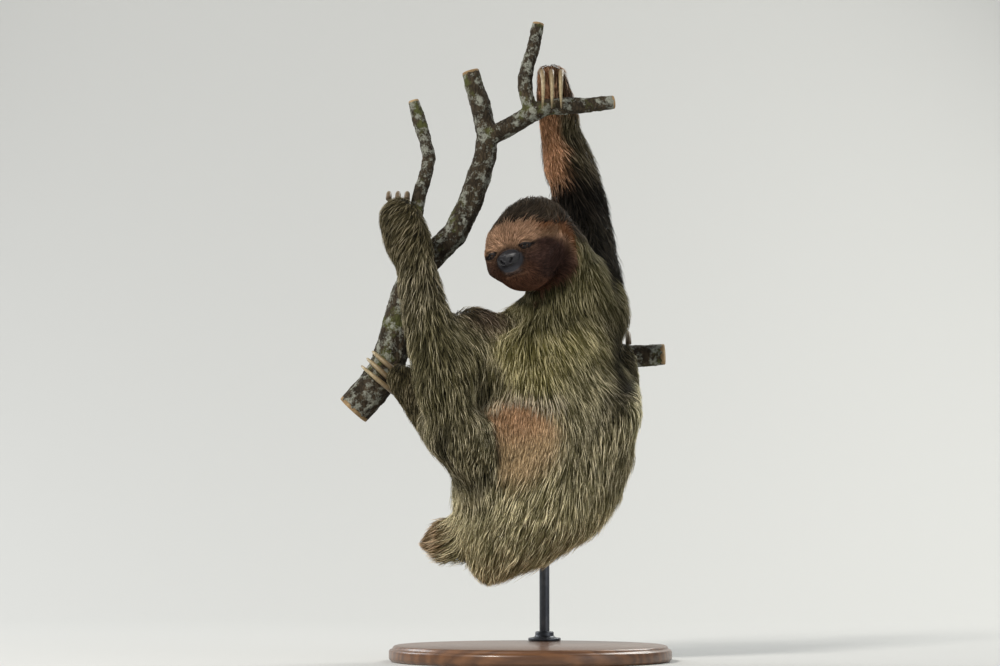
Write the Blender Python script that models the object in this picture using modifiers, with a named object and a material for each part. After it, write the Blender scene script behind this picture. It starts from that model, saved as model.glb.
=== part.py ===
"""Life-size display model of a three-toed sloth holding a cut forked branch, on a museum stand.

The belly faces -Y, +X is the animal's left side and +Z is up. The origin is the middle of the
stand's underside. Lengths are in metres. The solids reach out to the tips of the coat.
"""

import math

import bmesh
import bpy
from mathutils import Matrix, Vector

# Joints of the limbs, which the whole pose hangs on.
SHOULDER = {"left": Vector((0.080, 0.024, 0.430)), "right": Vector((-0.071, -0.006, 0.402))}
ELBOW = {"left": Vector((0.070, 0.105, 0.567)), "right": Vector((-0.106, -0.086, 0.328))}
WRIST = {"left": Vector((0.040, 0.052, 0.678)), "right": Vector((-0.1430, -0.032, 0.495))}
FINGERS = {"left": Vector((0.0275, 0.014, 0.736)), "right": Vector((-0.162, -0.014, 0.551))}
HIP = {"left": Vector((0.068, 0.016, 0.220)), "right": Vector((-0.047, -0.008, 0.236))}
KNEE = {"left": Vector((0.100, -0.026, 0.301)), "right": Vector((-0.090, -0.080, 0.279))}
ANKLE = {"left": Vector((0.112, 0.056, 0.344)), "right": Vector((-0.120, 0.020, 0.302))}
TOES = {"left": Vector((0.117, 0.096, 0.384)), "right": Vector((-0.158, 0.014, 0.352))}

# Trunk stations from the chest down to the rump: middle, then half width, depth and height.
TRUNK = (
    ((0.033, 0.001, 0.424), (0.071, 0.072, 0.046)),
    ((0.022, 0.006, 0.386), (0.095, 0.088, 0.052)),
    ((0.015, 0.012, 0.324), (0.105, 0.100, 0.058)),
    ((0.013, 0.015, 0.274), (0.117, 0.105, 0.060)),
    ((0.012, 0.012, 0.224), (0.119, 0.103, 0.058)),
    ((0.001, 0.009, 0.183), (0.103, 0.093, 0.054)),
    ((-0.019, 0.006, 0.152), (0.073, 0.075, 0.045)),
    ((-0.046, 0.004, 0.124), (0.037, 0.045, 0.033)),
)
NECK = (
    ((0.056, 0.004, 0.438), (0.058, 0.060, 0.050)),
    ((0.046, -0.010, 0.480), (0.054, 0.056, 0.048)),
    ((0.022, -0.030, 0.506), (0.050, 0.052, 0.050)),
)
TAIL = (
    ((-0.066, 0.036, 0.150), 0.040),
    ((-0.104, 0.043, 0.150), 0.031),
    ((-0.128, 0.041, 0.146), 0.015),
)

# Head, in its own axes: x to its left, y up, z out of the nose.
HEAD_CENTRE = Vector((-0.0025, -0.045, 0.512))
HEAD_TURN = math.radians(35)
HEAD_NOD = math.radians(8)
HEAD_LEAN = math.radians(12)
HEAD_FORMS = {
    "cranium": ((0.0, 0.006, -0.012), (0.058, 0.055, 0.056)),
    "face": ((0.0, -0.004, 0.010), (0.055, 0.049, 0.044)),
    "brow": ((0.0, 0.016, 0.023), (0.037, 0.026, 0.024)),
    "muzzle": ((0.0, -0.018, 0.036), (0.025, 0.019, 0.021)),
    "jaw": ((0.0, -0.035, 0.016), (0.032, 0.020, 0.033)),
}
EYE_PLACE = (0.0245, -0.004, 0.0450)
EYE_RADIUS = 0.0056
SOCKET_PLACE = (0.0255, -0.004, 0.0530)
SOCKET_HALVES = (0.0105, 0.0075, 0.0095)
NOSE_PLACE = (0.0, -0.0150, 0.0545)
NOSE_HALVES = (0.0140, 0.0095, 0.0060)

# Branches: points along each, with the radius there. The ends are sawn flat.
BRANCHES = {
    "perch_limb": (
        ((-0.2225, 0.045, 0.314), 0.0220), ((-0.181, 0.040, 0.364), 0.0215),
        ((-0.166, 0.036, 0.426), 0.0190), ((-0.146, 0.046, 0.486), 0.0165),
        ((-0.094, 0.056, 0.541), 0.0160), ((-0.065, 0.052, 0.611), 0.0145),
        ((-0.054, 0.046, 0.664), 0.0130), ((-0.075, 0.045, 0.746), 0.0110),
    ),
    "perch_cross": (
        ((-0.170, 0.038, 0.408), 0.0165), ((-0.140, 0.092, 0.394), 0.0155),
        ((-0.082, 0.132, 0.386), 0.0145), ((0.000, 0.140, 0.384), 0.0140),
        ((0.085, 0.136, 0.386), 0.0140), ((0.175, 0.124, 0.390), 0.0135),
    ),
    "perch_fork": (
        ((-0.054, 0.046, 0.661), 0.0110), ((-0.019, 0.026, 0.676), 0.0105),
        ((0.006, 0.008, 0.688), 0.0105), ((0.0275, 0.000, 0.694), 0.0100),
        ((0.069, 0.000, 0.695), 0.0092), ((0.105, 0.005, 0.700), 0.0085),
    ),
    "perch_stem": (
        ((0.001, 0.009, 0.688), 0.0090), ((-0.006, 0.012, 0.730), 0.0082),
        ((0.004, 0.014, 0.768), 0.0078), ((0.011, 0.015, 0.802), 0.0074),
    ),
    "perch_side": (
        ((-0.150, 0.045, 0.484), 0.0105), ((-0.152, 0.032, 0.520), 0.0095),
        ((-0.146, 0.026, 0.553), 0.0088), ((-0.138, 0.024, 0.590), 0.0082),
        ((-0.1275, 0.023, 0.632), 0.0078), ((-0.139, 0.022, 0.676), 0.0072),
        ((-0.147, 0.022, 0.704), 0.0068),
    ),
    "perch_spur": (
        ((-0.146, 0.026, 0.553), 0.0085), ((-0.166, 0.025, 0.553), 0.0080),
        ((-0.187, 0.024, 0.555), 0.0072),
    ),
}
BRANCH_JOINS = {"perch_cross": "perch_limb", "perch_fork": "perch_limb", "perch_stem": "perch_fork",
                "perch_side": "perch_limb", "perch_spur": "perch_side"}

# Claws: middle of the hook, the two directions that it turns through, its radius and its sweep.
ALONG_LIMB = Vector((0.62, -0.08, 0.78)).normalized()
HOOKS = {
    "hand_left": ((0.0275, 0.003, 0.711), (1, 0, 0), (0, 0, 1), 0.0265, (2, 148)),
    "hand_right": ((-0.166, 0.019, 0.562), (-1, 0, 0), (0, 0, 1), 0.0225, (-38, 132)),
    "foot_left": ((0.117, 0.124, 0.391), (-1, 0, 0), (0, 0, 1), 0.0250, (-52, 112)),
    "foot_right": ((-0.183, 0.041, 0.361), tuple(-ALONG_LIMB), (0.55, -0.84, 0.0), 0.0285, (-28, 118)),
}
CLAW_SPACING = 0.0115
CLAW_RADIUS = 0.0042
CLAW_TIP_RADIUS = 0.0008
CLAW_POINTS = 8

BASE_RADIUS = 0.175
BASE_HEIGHT = 0.020
BASE_BEVEL = 0.003
ROD_PLACE = (0.020, 0.1395)
ROD_RADIUS = 0.0065
ROD_TOP = 0.360
COLLAR_RADIUS = 0.021
COLLAR_HEIGHT = 0.012
COLLAR_BEVEL = 0.002
SADDLE_HALVES = (0.016, 0.0175, 0.010)
SADDLE_RISE = 0.006
BASE_SIDES = 40
ROD_SIDES = 16

FIT_GAP = 0.0004
BALL_STEP = 0.008
FLESH_VOXEL = 0.0040
HEAD_VOXEL = 0.0030
CRUMB_VOLUME = 1.0e-6
WELD = 0.00005
# Where the neck and the tail part from the rest, as a share of the way between two stations.
THROAT_SHARE = 0.55
NECK_FOOT_SHARE = 0.30
TAIL_ROOT_SHARE = 0.95
# Radii of the saw cuts at the throat, the foot of the neck, the tail's root, and a limb's two joints.
THROAT_SAW = 0.12
NECK_FOOT_SAW = 0.14
TAIL_SAW = 0.06
MIDDLE_JOINT_SAW = 0.20
END_JOINT_SAW = 0.05
# Half thickness of each limb at its four joints and half way between them.
ARM_RADII = {
    "left": (0.050, 0.045, 0.040, 0.037, 0.028, 0.026, 0.0195),
    "right": (0.046, 0.042, 0.037, 0.034, 0.029, 0.032, 0.0290),
}
LEG_RADII = {
    "left": (0.056, 0.051, 0.041, 0.036, 0.030, 0.027, 0.022),
    "right": (0.052, 0.046, 0.042, 0.036, 0.030, 0.027, 0.023),
}
TRIANGLES = {"core": 1500, "head": 1250, "arm": 400, "leg": 340}

COAT = ((0.20, 0.17, 0.10, 1.0), 0.90, 0.0)
FACE = ((0.34, 0.16, 0.10, 1.0), 0.80, 0.0)
FINISHES = {
    "head": FACE,
    "nose": ((0.030, 0.028, 0.032, 1.0), 0.40, 0.0),
    "eye": ((0.030, 0.014, 0.008, 1.0), 0.08, 0.0),
    "tail": ((0.22, 0.13, 0.07, 1.0), 0.90, 0.0),
    "claw": ((0.42, 0.36, 0.24, 1.0), 0.45, 0.0),
    "perch": ((0.24, 0.21, 0.17, 1.0), 0.95, 0.0),
    "stand_base": ((0.17, 0.09, 0.045, 1.0), 0.45, 0.0),
    "stand": ((0.05, 0.05, 0.05, 1.0), 0.35, 0.9),
}


def clear_scene():
    for obj in list(bpy.data.objects):
        bpy.data.objects.remove(obj)


def new_collection(name, shown):
    made = bpy.data.collections.new(name)
    made.hide_render = not shown
    bpy.context.scene.collection.children.link(made)
    return made


def add_object(name, mesh, collection):
    obj = bpy.data.objects.new(name, mesh)
    collection.objects.link(obj)
    return obj


def give_finish(obj):
    """Gives the object a material of its own, in the finish whose name starts the object's name."""
    fitting = [key for key in FINISHES if obj.name.startswith(key)]
    colour, roughness, metallic = FINISHES[max(fitting, key=len)] if fitting else COAT
    made = bpy.data.materials.new(obj.name + "_finish")
    made.use_nodes = True
    shader = made.node_tree.nodes["Principled BSDF"]
    shader.inputs["Base Color"].default_value = colour
    shader.inputs["Roughness"].default_value = roughness
    shader.inputs["Metallic"].default_value = metallic
    obj.data.materials.clear()
    obj.data.materials.append(made)


def evaluated_mesh(obj):
    """A new mesh of the object with its modifiers applied."""
    graph = bpy.context.evaluated_depsgraph_get()
    return bpy.data.meshes.new_from_object(obj.evaluated_get(graph), depsgraph=graph)


def apply_modifiers(obj):
    mesh = evaluated_mesh(obj)
    obj.modifiers.clear()
    obj.data = mesh


def finished_mesh(obj):
    """The object's mesh with its modifiers applied. The object is removed."""
    mesh = evaluated_mesh(obj)
    bpy.data.objects.remove(obj)
    return mesh


def add_ball(bm, centre, halves, axes=None):
    """One ellipsoid, with its half sizes along the axes' directions."""
    placed = Matrix.Translation(centre) @ Matrix.Diagonal((*halves, 1))
    bmesh.ops.create_icosphere(bm, subdivisions=3, radius=1.0, matrix=(axes or Matrix.Identity(4)) @ placed)


def three(size):
    return Vector((size, size, size)) if isinstance(size, float) else Vector(size)


def add_chain(bm, stations):
    """Balls close together through stations of a middle and a half size, so that they fuse."""
    for (start, size_a), (end, size_b) in zip(stations, stations[1:]):
        count = max(1, round((Vector(end) - Vector(start)).length / BALL_STEP))
        for i in range(count + 1):
            share = i / count
            add_ball(bm, Vector(start).lerp(Vector(end), share), three(size_a).lerp(three(size_b), share))


def fuse(bm, name, voxel, smoothing, triangles):
    """One closed skin round all the balls in bm, softened and thinned to about this many triangles."""
    mesh = bpy.data.meshes.new(name)
    bm.to_mesh(mesh)
    bm.free()
    obj = add_object(name, mesh, WORK)
    remesh = obj.modifiers.new("fuse", "REMESH")
    remesh.mode = "VOXEL"
    remesh.voxel_size = voxel
    soften = obj.modifiers.new("soften", "SMOOTH")
    soften.iterations = smoothing
    obj = add_object(name, finished_mesh(obj), WORK)
    thin = obj.modifiers.new("thin", "DECIMATE")
    thin.ratio = triangles / (2 * len(obj.data.polygons))
    return add_object(name, finished_mesh(obj), WORK)


def grown(obj):
    """A copy of the object, larger by the gap that neighbours keep."""
    mesh = obj.data.copy()
    normals = [vertex.normal.copy() for vertex in mesh.vertices]
    for vertex, normal in zip(mesh.vertices, normals):
        vertex.co += normal * FIT_GAP
    copy = add_object(obj.name + "_cutter", mesh, WORK)
    copy.hide_render = True
    copy.display_type = "WIRE"
    return copy


def cut(obj, cutter):
    """Takes the cutter away from the object, for good."""
    modifier = obj.modifiers.new("cut", "BOOLEAN")
    modifier.operation = "DIFFERENCE"
    modifier.solver = "EXACT"
    modifier.use_hole_tolerant = True
    modifier.object = cutter
    apply_modifiers(obj)


def cut_clear(obj, neighbour):
    """Takes the neighbour, and the gap round it, away from the object."""
    cutter = grown(neighbour)
    cut(obj, cutter)
    bpy.data.objects.remove(cutter)


def cut_across(obj, centre, normal, radius):
    """Parts the object with a round saw cut as thick as the gap."""
    bm = bmesh.new()
    turn = Vector(normal).to_track_quat("Z", "Y").to_matrix().to_4x4()
    bmesh.ops.create_cone(
        bm, cap_ends=True, segments=32, radius1=radius, radius2=radius, depth=FIT_GAP,
        matrix=Matrix.Translation(centre) @ turn,
    )
    mesh = bpy.data.meshes.new("saw")
    bm.to_mesh(mesh)
    bm.free()
    saw = add_object("saw", mesh, WORK)
    saw.hide_render = True
    cut(obj, saw)
    bpy.data.objects.remove(saw)


def volume_and_middle(mesh):
    bm = bmesh.new()
    bm.from_mesh(mesh)
    volume = bm.calc_volume()
    middle = sum((vertex.co for vertex in bm.verts), Vector()) / max(1, len(bm.verts))
    bm.free()
    return volume, middle


def bodies_of(obj):
    """The object's separate bodies, largest first, as meshes. The object is removed."""
    bm = bmesh.new()
    bm.from_mesh(obj.data)
    bm.faces.ensure_lookup_table()
    unseen = set(bm.faces)
    groups = []
    while unseen:
        group, waiting = set(), [unseen.pop()]
        while waiting:
            face = waiting.pop()
            group.add(face.index)
            for edge in face.edges:
                for other in edge.link_faces:
                    if other in unseen:
                        unseen.remove(other)
                        waiting.append(other)
        groups.append(group)
    bm.free()
    found = []
    for group in groups:
        part = bmesh.new()
        part.from_mesh(obj.data)
        part.faces.ensure_lookup_table()
        rest = [face for face in part.faces if face.index not in group]
        bmesh.ops.delete(part, geom=rest, context="FACES")
        mesh = bpy.data.meshes.new(obj.name)
        part.to_mesh(mesh)
        part.free()
        volume, middle = volume_and_middle(mesh)
        found.append((volume, middle, mesh))
    bpy.data.objects.remove(obj)
    return sorted(found, key=lambda item: -item[0])


def share_out(obj, middles):
    """Makes one node of each body of the object, named for the place in middles nearest to it."""
    made = {}
    for volume, middle, mesh in bodies_of(obj):
        if volume < CRUMB_VOLUME:
            continue
        name = min(middles, key=lambda key: (Vector(middles[key]) - middle).length)
        if name not in made:
            made[name] = add_object(name, mesh, SLOTH)
    return made


def tube(name, points, sides_step):
    """A closed tube through points of a place and a radius."""
    curve = bpy.data.curves.new(name, "CURVE")
    curve.dimensions = "3D"
    curve.bevel_depth = 1.0
    curve.bevel_resolution = sides_step
    curve.use_fill_caps = True
    spline = curve.splines.new("POLY")
    spline.points.add(len(points) - 1)
    for point, (place, radius) in zip(spline.points, points):
        point.co = (*place, 1.0)
        point.radius = radius
    obj = add_object(name, curve, WORK)
    mesh = finished_mesh(obj)
    bm = bmesh.new()
    bm.from_mesh(mesh)
    bmesh.ops.remove_doubles(bm, verts=bm.verts, dist=WELD)
    bmesh.ops.recalc_face_normals(bm, faces=bm.faces)
    bm.to_mesh(mesh)
    bm.free()
    return mesh


def rounded_route(points, steps):
    """Catmull-Rom points through a route of places and radii."""
    places = [Vector((*place, radius)) for place, radius in points]
    ends = [2 * places[0] - places[1]] + places + [2 * places[-1] - places[-2]]
    route = []
    for a, b, c, d in zip(ends, ends[1:], ends[2:], ends[3:]):
        for i in range(steps):
            t = i / steps
            value = 0.5 * (2 * b + (c - a) * t + (2 * a - 5 * b + 4 * c - d) * t**2
                           + (3 * b - a - 3 * c + d) * t**3)
            route.append((value[:3], value[3]))
    return route + [(places[-1][:3], places[-1][3])]


def head_axes():
    turn = (
        Matrix.Rotation(-HEAD_TURN, 4, "Z")
        @ Matrix.Rotation(-HEAD_LEAN, 4, "Y")
        @ Matrix.Rotation(HEAD_NOD, 4, "X")
    )
    upright = Matrix(((1, 0, 0, 0), (0, 0, -1, 0), (0, 1, 0, 0), (0, 0, 0, 1)))
    return Matrix.Translation(HEAD_CENTRE) @ turn @ upright


def ball_object(name, centre, halves, axes, collection, detail=2):
    bm = bmesh.new()
    placed = Matrix.Translation(centre) @ Matrix.Diagonal((*halves, 1))
    bmesh.ops.create_icosphere(bm, subdivisions=detail, radius=1.0, matrix=axes @ placed)
    mesh = bpy.data.meshes.new(name)
    bm.to_mesh(mesh)
    bm.free()
    return add_object(name, mesh, collection)


# ------------------------------------------------------------------ the pieces

def make_forms():
    """The whole head, the whole body with neck and tail, and the four whole limbs, before parting."""
    axes = head_axes()
    bm = bmesh.new()
    for centre, halves in HEAD_FORMS.values():
        add_ball(bm, centre, halves, axes)
    add_chain(bm, NECK[1:])
    forms = {"head": fuse(bm, "head", HEAD_VOXEL, 5, TRIANGLES["head"])}

    bm = bmesh.new()
    add_chain(bm, TRUNK)
    add_chain(bm, NECK)
    add_chain(bm, TAIL)
    forms["core"] = fuse(bm, "core", FLESH_VOXEL, 6, TRIANGLES["core"])

    for side in ("left", "right"):
        joints = (SHOULDER[side], ELBOW[side], WRIST[side], FINGERS[side])
        forms["arm_" + side] = limb_form("arm_" + side, joints, ARM_RADII[side], TRIANGLES["arm"])
        joints = (HIP[side], KNEE[side], ANKLE[side], TOES[side])
        forms["leg_" + side] = limb_form("leg_" + side, joints, LEG_RADII[side], TRIANGLES["leg"])
    return forms


def limb_form(name, joints, radii, triangles):
    """A limb through four joints, with a radius at each joint and half way between them."""
    a, b, c, d = joints
    places = (a, a.lerp(b, 0.5), b, b.lerp(c, 0.5), c, c.lerp(d, 0.5), d)
    bm = bmesh.new()
    add_chain(bm, list(zip(places, radii)))
    return fuse(bm, name, FLESH_VOXEL, 4, triangles)


def part_head_and_body(forms):
    """The head keeps its own finer form down to the plane where the neck begins."""
    axes = head_axes()
    throat = Vector(NECK[2][0]).lerp(Vector(NECK[1][0]), THROAT_SHARE)
    up_neck = Vector(NECK[2][0]) - Vector(NECK[1][0])
    cut_across(forms["head"], throat, up_neck, THROAT_SAW)
    cut_across(forms["core"], throat, up_neck, THROAT_SAW)
    head = add_object("head", body_on_side(forms["head"], throat, up_neck), SLOTH)
    core = add_object("core", body_on_side(forms["core"], throat, -up_neck), WORK)

    neck_foot = Vector(NECK[0][0]).lerp(Vector(NECK[1][0]), NECK_FOOT_SHARE)
    cut_across(core, neck_foot, Vector(NECK[1][0]) - Vector(NECK[0][0]), NECK_FOOT_SAW)
    tail_root = Vector(TAIL[0][0]).lerp(Vector(TAIL[1][0]), TAIL_ROOT_SHARE)
    cut_across(core, tail_root, Vector(TAIL[1][0]) - Vector(TAIL[0][0]), TAIL_SAW)
    share_out(core, {"neck": NECK[1][0], "trunk": TRUNK[4][0], "tail": TAIL[2][0]})

    for side, way in (("left", 1), ("right", -1)):
        place = (way * SOCKET_PLACE[0], SOCKET_PLACE[1], SOCKET_PLACE[2])
        socket = ball_object("socket", place, SOCKET_HALVES, axes, WORK)
        cut(head, socket)
        bpy.data.objects.remove(socket)
        place = (way * EYE_PLACE[0], EYE_PLACE[1], EYE_PLACE[2])
        cut_clear(head, ball_object("eye_" + side, place, (EYE_RADIUS,) * 3, axes, SLOTH))
    cut_clear(head, ball_object("nose", NOSE_PLACE, NOSE_HALVES, axes, SLOTH))


def body_on_side(obj, place, normal):
    """The largest body of the object on the normal's side of a plane, as a mesh."""
    for _, middle, mesh in bodies_of(obj):
        if (middle - place).dot(normal) > 0:
            return mesh


def bend_cut(obj, before, joint, after, radius):
    """Parts a limb at a joint, on the plane that halves the bend."""
    normal = (joint - before).normalized() + (after - joint).normalized()
    cut_across(obj, joint, normal, radius)


def part_limb(limb, names, joints):
    root, middle, end, tip = joints
    bend_cut(limb, root, middle, end, MIDDLE_JOINT_SAW)
    bend_cut(limb, middle, end, tip, END_JOINT_SAW)
    places = (root.lerp(middle, 0.5), middle.lerp(end, 0.5), end.lerp(tip, 0.5))
    return share_out(limb, dict(zip(names, places)))


def make_perch():
    parts = {}
    for name, points in BRANCHES.items():
        mesh = tube(name, rounded_route(points, 2), 2)
        parts[name] = add_object(name, mesh, SLOTH)
    for name, carrier in BRANCH_JOINS.items():
        cut_clear(parts[name], parts[carrier])
        keep_largest(parts[name])
    return parts


def keep_largest(obj):
    """Drops everything but the object's largest body."""
    copy = add_object(obj.name + "_copy", obj.data.copy(), WORK)
    obj.data = bodies_of(copy)[0][2]


def make_claws(carriers):
    """Three hooked claws on each hand and foot."""
    parts = {}
    for carrier, (middle, along, up, radius, (start, end)) in HOOKS.items():
        along = Vector(along).normalized()
        up = Vector(up)
        up = (up - along * up.dot(along)).normalized()
        out = along.cross(up)
        for number in (1, 2, 3):
            centre = Vector(middle) + along * (number - 2) * CLAW_SPACING
            points = []
            for i in range(CLAW_POINTS):
                share = i / (CLAW_POINTS - 1)
                angle = math.radians(start + (end - start) * share)
                place = centre + radius * (math.cos(angle) * up + math.sin(angle) * out)
                thick = CLAW_TIP_RADIUS + (CLAW_RADIUS - CLAW_TIP_RADIUS) * (1 - share**2)
                points.append((place, thick))
            name = "claw_" + carrier + "_" + str(number)
            claw = add_object(name, tube(name, points, 1), SLOTH)
            cut_clear(claw, carriers[carrier])
            keep_largest(claw)
            parts[name] = claw
    return parts


def round_solid(name, radius, levels, sides, bevel, place=(0, 0)):
    """A round plate or rod between two levels, with its edge broken by the bevel."""
    low, high = levels
    bm = bmesh.new()
    bmesh.ops.create_cone(
        bm, cap_ends=True, segments=sides, radius1=radius, radius2=radius, depth=high - low,
        matrix=Matrix.Translation((*place, (low + high) / 2)),
    )
    mesh = bpy.data.meshes.new(name)
    bm.to_mesh(mesh)
    bm.free()
    obj = add_object(name, mesh, SLOTH)
    if bevel:
        edge = obj.modifiers.new("edge", "BEVEL")
        edge.width = bevel
        edge.segments = 1
        edge.limit_method = "ANGLE"
    return obj


def make_stand(parts):
    x, y = ROD_PLACE
    round_solid("stand_base", BASE_RADIUS, (0.0, BASE_HEIGHT), BASE_SIDES, BASE_BEVEL)
    foot = BASE_HEIGHT + FIT_GAP
    collar = round_solid("stand_collar", COLLAR_RADIUS, (foot, foot + COLLAR_HEIGHT), ROD_SIDES,
                         COLLAR_BEVEL, ROD_PLACE)
    rod = round_solid("stand_rod", ROD_RADIUS, (foot, ROD_TOP), ROD_SIDES, 0.0, ROD_PLACE)
    saddle_place = (x, y, ROD_TOP + SADDLE_RISE)
    saddle = ball_object("stand_saddle", saddle_place, SADDLE_HALVES, Matrix.Identity(4), SLOTH)
    cut_clear(saddle, parts["perch_cross"])
    keep_largest(saddle)
    cut_clear(rod, saddle)
    apply_modifiers(collar)
    cut_clear(collar, rod)


def clear_limbs(forms, perch):
    """The whole limbs give way to the body, to the branches and, the legs, to the arms."""
    for name in ("arm_left", "arm_right", "leg_left", "leg_right"):
        for neighbour in [forms["core"], forms["head"], *perch.values()]:
            if boxes_meet(forms[name], neighbour):
                cut_clear(forms[name], neighbour)
    for side in ("left", "right"):
        cut_clear(forms["leg_" + side], forms["arm_" + side])


def boxes_meet(a, b):
    margin = 2 * FIT_GAP
    for axis in range(3):
        low_a, high_a = extent(a, axis)
        low_b, high_b = extent(b, axis)
        if low_a > high_b + margin or low_b > high_a + margin:
            return False
    return True


def extent(obj, axis):
    values = [vertex.co[axis] for vertex in obj.data.vertices]
    return min(values), max(values)


def clear_if_near(obj, neighbour):
    if boxes_meet(obj, neighbour):
        cut_clear(obj, neighbour)
        keep_largest(obj)


clear_scene()
SLOTH = new_collection("three_toed_sloth", True)
WORK = new_collection("cutters", False)
forms = make_forms()
perch = make_perch()
clear_limbs(forms, perch)
part_head_and_body(forms)
limbs = {}
for side in ("left", "right"):
    limbs.update(part_limb(forms["arm_" + side], ("upper_arm_" + side, "forearm_" + side, "hand_" + side),
                           (SHOULDER[side], ELBOW[side], WRIST[side], FINGERS[side])))
    limbs.update(part_limb(forms["leg_" + side], ("thigh_" + side, "shin_" + side, "foot_" + side),
                           (HIP[side], KNEE[side], ANKLE[side], TOES[side])))
claws = make_claws(limbs)
for claw in claws.values():
    for branch in perch.values():
        clear_if_near(claw, branch)
make_stand(perch)
for obj in SLOTH.objects:
    give_finish(obj)
    obj.data.shade_smooth()
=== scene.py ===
"""Looks of a life-size three-toed sloth on a cut branch and a museum stand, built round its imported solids.

The belly faces -Y, +X is the animal's left side and +Z is up. Lengths are in metres.
"""

import math

import bmesh
import bpy
import numpy as np
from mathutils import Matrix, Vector, kdtree, noise
from mathutils.bvhtree import BVHTree


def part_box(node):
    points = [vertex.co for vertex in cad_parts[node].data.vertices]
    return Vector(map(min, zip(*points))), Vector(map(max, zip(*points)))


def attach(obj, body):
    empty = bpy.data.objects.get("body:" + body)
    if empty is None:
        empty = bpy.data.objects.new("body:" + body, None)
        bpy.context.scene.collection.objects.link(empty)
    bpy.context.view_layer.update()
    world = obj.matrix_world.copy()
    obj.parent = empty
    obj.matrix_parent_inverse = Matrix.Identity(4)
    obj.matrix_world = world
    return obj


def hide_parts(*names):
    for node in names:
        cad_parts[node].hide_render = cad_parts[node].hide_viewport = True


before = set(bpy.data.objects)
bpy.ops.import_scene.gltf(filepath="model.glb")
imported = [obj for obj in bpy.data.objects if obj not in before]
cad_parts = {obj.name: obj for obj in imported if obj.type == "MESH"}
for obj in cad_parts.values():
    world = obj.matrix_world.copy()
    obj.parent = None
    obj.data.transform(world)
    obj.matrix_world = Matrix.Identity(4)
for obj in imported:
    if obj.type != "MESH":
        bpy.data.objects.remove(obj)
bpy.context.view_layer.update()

# ---------------------------------------------------------------- the skin
# One hide over the whole animal, from the forehead to the ends of the hands, feet and tail. It lies
# under the coat by the coat's depth: thin on the face and the hands, deep on the trunk.

ARM = ("upper_arm", "forearm", "hand")
LEG = ("thigh", "shin", "foot")
SIDES = ("_left", "_right")
FLESH = ["head", "neck", "trunk", "tail"] + [part + side for side in SIDES for part in ARM + LEG]
CLAWS = [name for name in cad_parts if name.startswith("claw_")]
COAT_DEPTH = {"head": 0.0075, "neck": 0.0150, "trunk": 0.0190, "tail": 0.0110, "upper_arm": 0.0130,
              "forearm": 0.0110, "hand": 0.0065, "thigh": 0.0130, "shin": 0.0105, "foot": 0.0060}
CLOSING = 0.0006
SKIN_VOXEL = 0.0036
EROSION_STEPS = 8


def kind_of(node):
    """The name of a node without its side."""
    return node.replace("_left", "").replace("_right", "")


def read(items, key, width=3, kind=np.float32):
    """One property of all the items, with a row for each."""
    flat = np.empty(len(items) * width, kind)
    items.foreach_get(key, flat)
    return flat.reshape(-1, width)


def points_of(mesh):
    return read(mesh.vertices, "co").astype(float)


def normals_of(mesh):
    return read(mesh.vertex_normals, "vector").astype(float)


def edges_of(mesh):
    return read(mesh.edges, "vertices", 2, np.int32)


def node_points(node):
    return points_of(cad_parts[node].data)


def set_points(mesh, points):
    mesh.vertices.foreach_set("co", points.astype(np.float32).ravel())
    mesh.update()


def mark(mesh, kind="FLOAT", domain="POINT", **fields):
    """Keeps one value for each vertex or face under each name."""
    field = {"FLOAT_VECTOR": "vector", "FLOAT_COLOR": "color"}.get(kind, "value")
    for label, values in fields.items():
        values = np.asarray(values, np.int32 if kind == "INT" else np.float32)
        mesh.attributes.new(label, kind, domain).data.foreach_set(field, values.ravel())


def new_piece(name, data):
    obj = bpy.data.objects.new(name, data)
    bpy.context.scene.collection.objects.link(obj)
    return obj


def solid(name, bm):
    """The finished bmesh as a new object."""
    mesh = bpy.data.meshes.new(name)
    bm.to_mesh(mesh)
    bm.free()
    return new_piece(name, mesh)


def fitted(obj, material, slot, *nodes):
    """Gives a finished piece its material and body, and hides the nodes that it stands for. Its slot is not used."""
    obj.data.materials.clear()
    obj.data.materials.append(material)
    obj.data.shade_smooth()
    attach(obj, "root")
    if nodes:
        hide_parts(*nodes)


def applied(obj):
    """The object's mesh with its modifiers applied. The modifiers are removed."""
    graph = bpy.context.evaluated_depsgraph_get()
    mesh = bpy.data.meshes.new_from_object(obj.evaluated_get(graph), depsgraph=graph)
    obj.modifiers.clear()
    obj.data = mesh
    return mesh


def remeshed(obj, voxel, smoothing):
    remesh = obj.modifiers.new("fuse", "REMESH")
    remesh.mode = "VOXEL"
    remesh.voxel_size = voxel
    obj.modifiers.new("soften", "SMOOTH").iterations = smoothing
    applied(obj)


def fused(name, nodes, closing, voxel, smoothing):
    """One mesh over the nodes, each grown a little so that the joints between them close."""
    whole = bmesh.new()
    for node in nodes:
        part = bmesh.new()
        part.from_mesh(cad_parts[node].data)
        bmesh.ops.remove_doubles(part, verts=part.verts, dist=0.00001)
        part.normal_update()
        for vertex in part.verts:
            vertex.co += vertex.normal * closing
        mesh = bpy.data.meshes.new(node)
        part.to_mesh(mesh)
        part.free()
        whole.from_mesh(mesh)
        bpy.data.meshes.remove(mesh)
    obj = solid(name, whole)
    remeshed(obj, voxel, smoothing)
    return obj


def averaged(values, edges, rounds):
    """Values at the vertices, each moved half way to its neighbours' mean, this many times."""
    values = np.asarray(values, float)
    table = values.reshape(len(values), -1)
    count = np.bincount(edges.ravel(), minlength=len(table))[:, None]
    a, b = edges.T
    for _ in range(rounds):
        around = [np.bincount(a, column[b], len(table)) + np.bincount(b, column[a], len(table))
                  for column in table.T]
        table = 0.5 * table + 0.5 * np.stack(around, axis=1) / np.maximum(count, 1)
    return table.reshape(values.shape)


def unit(vectors):
    return vectors / np.maximum(np.linalg.norm(vectors, axis=-1, keepdims=True), 1e-9)


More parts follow.
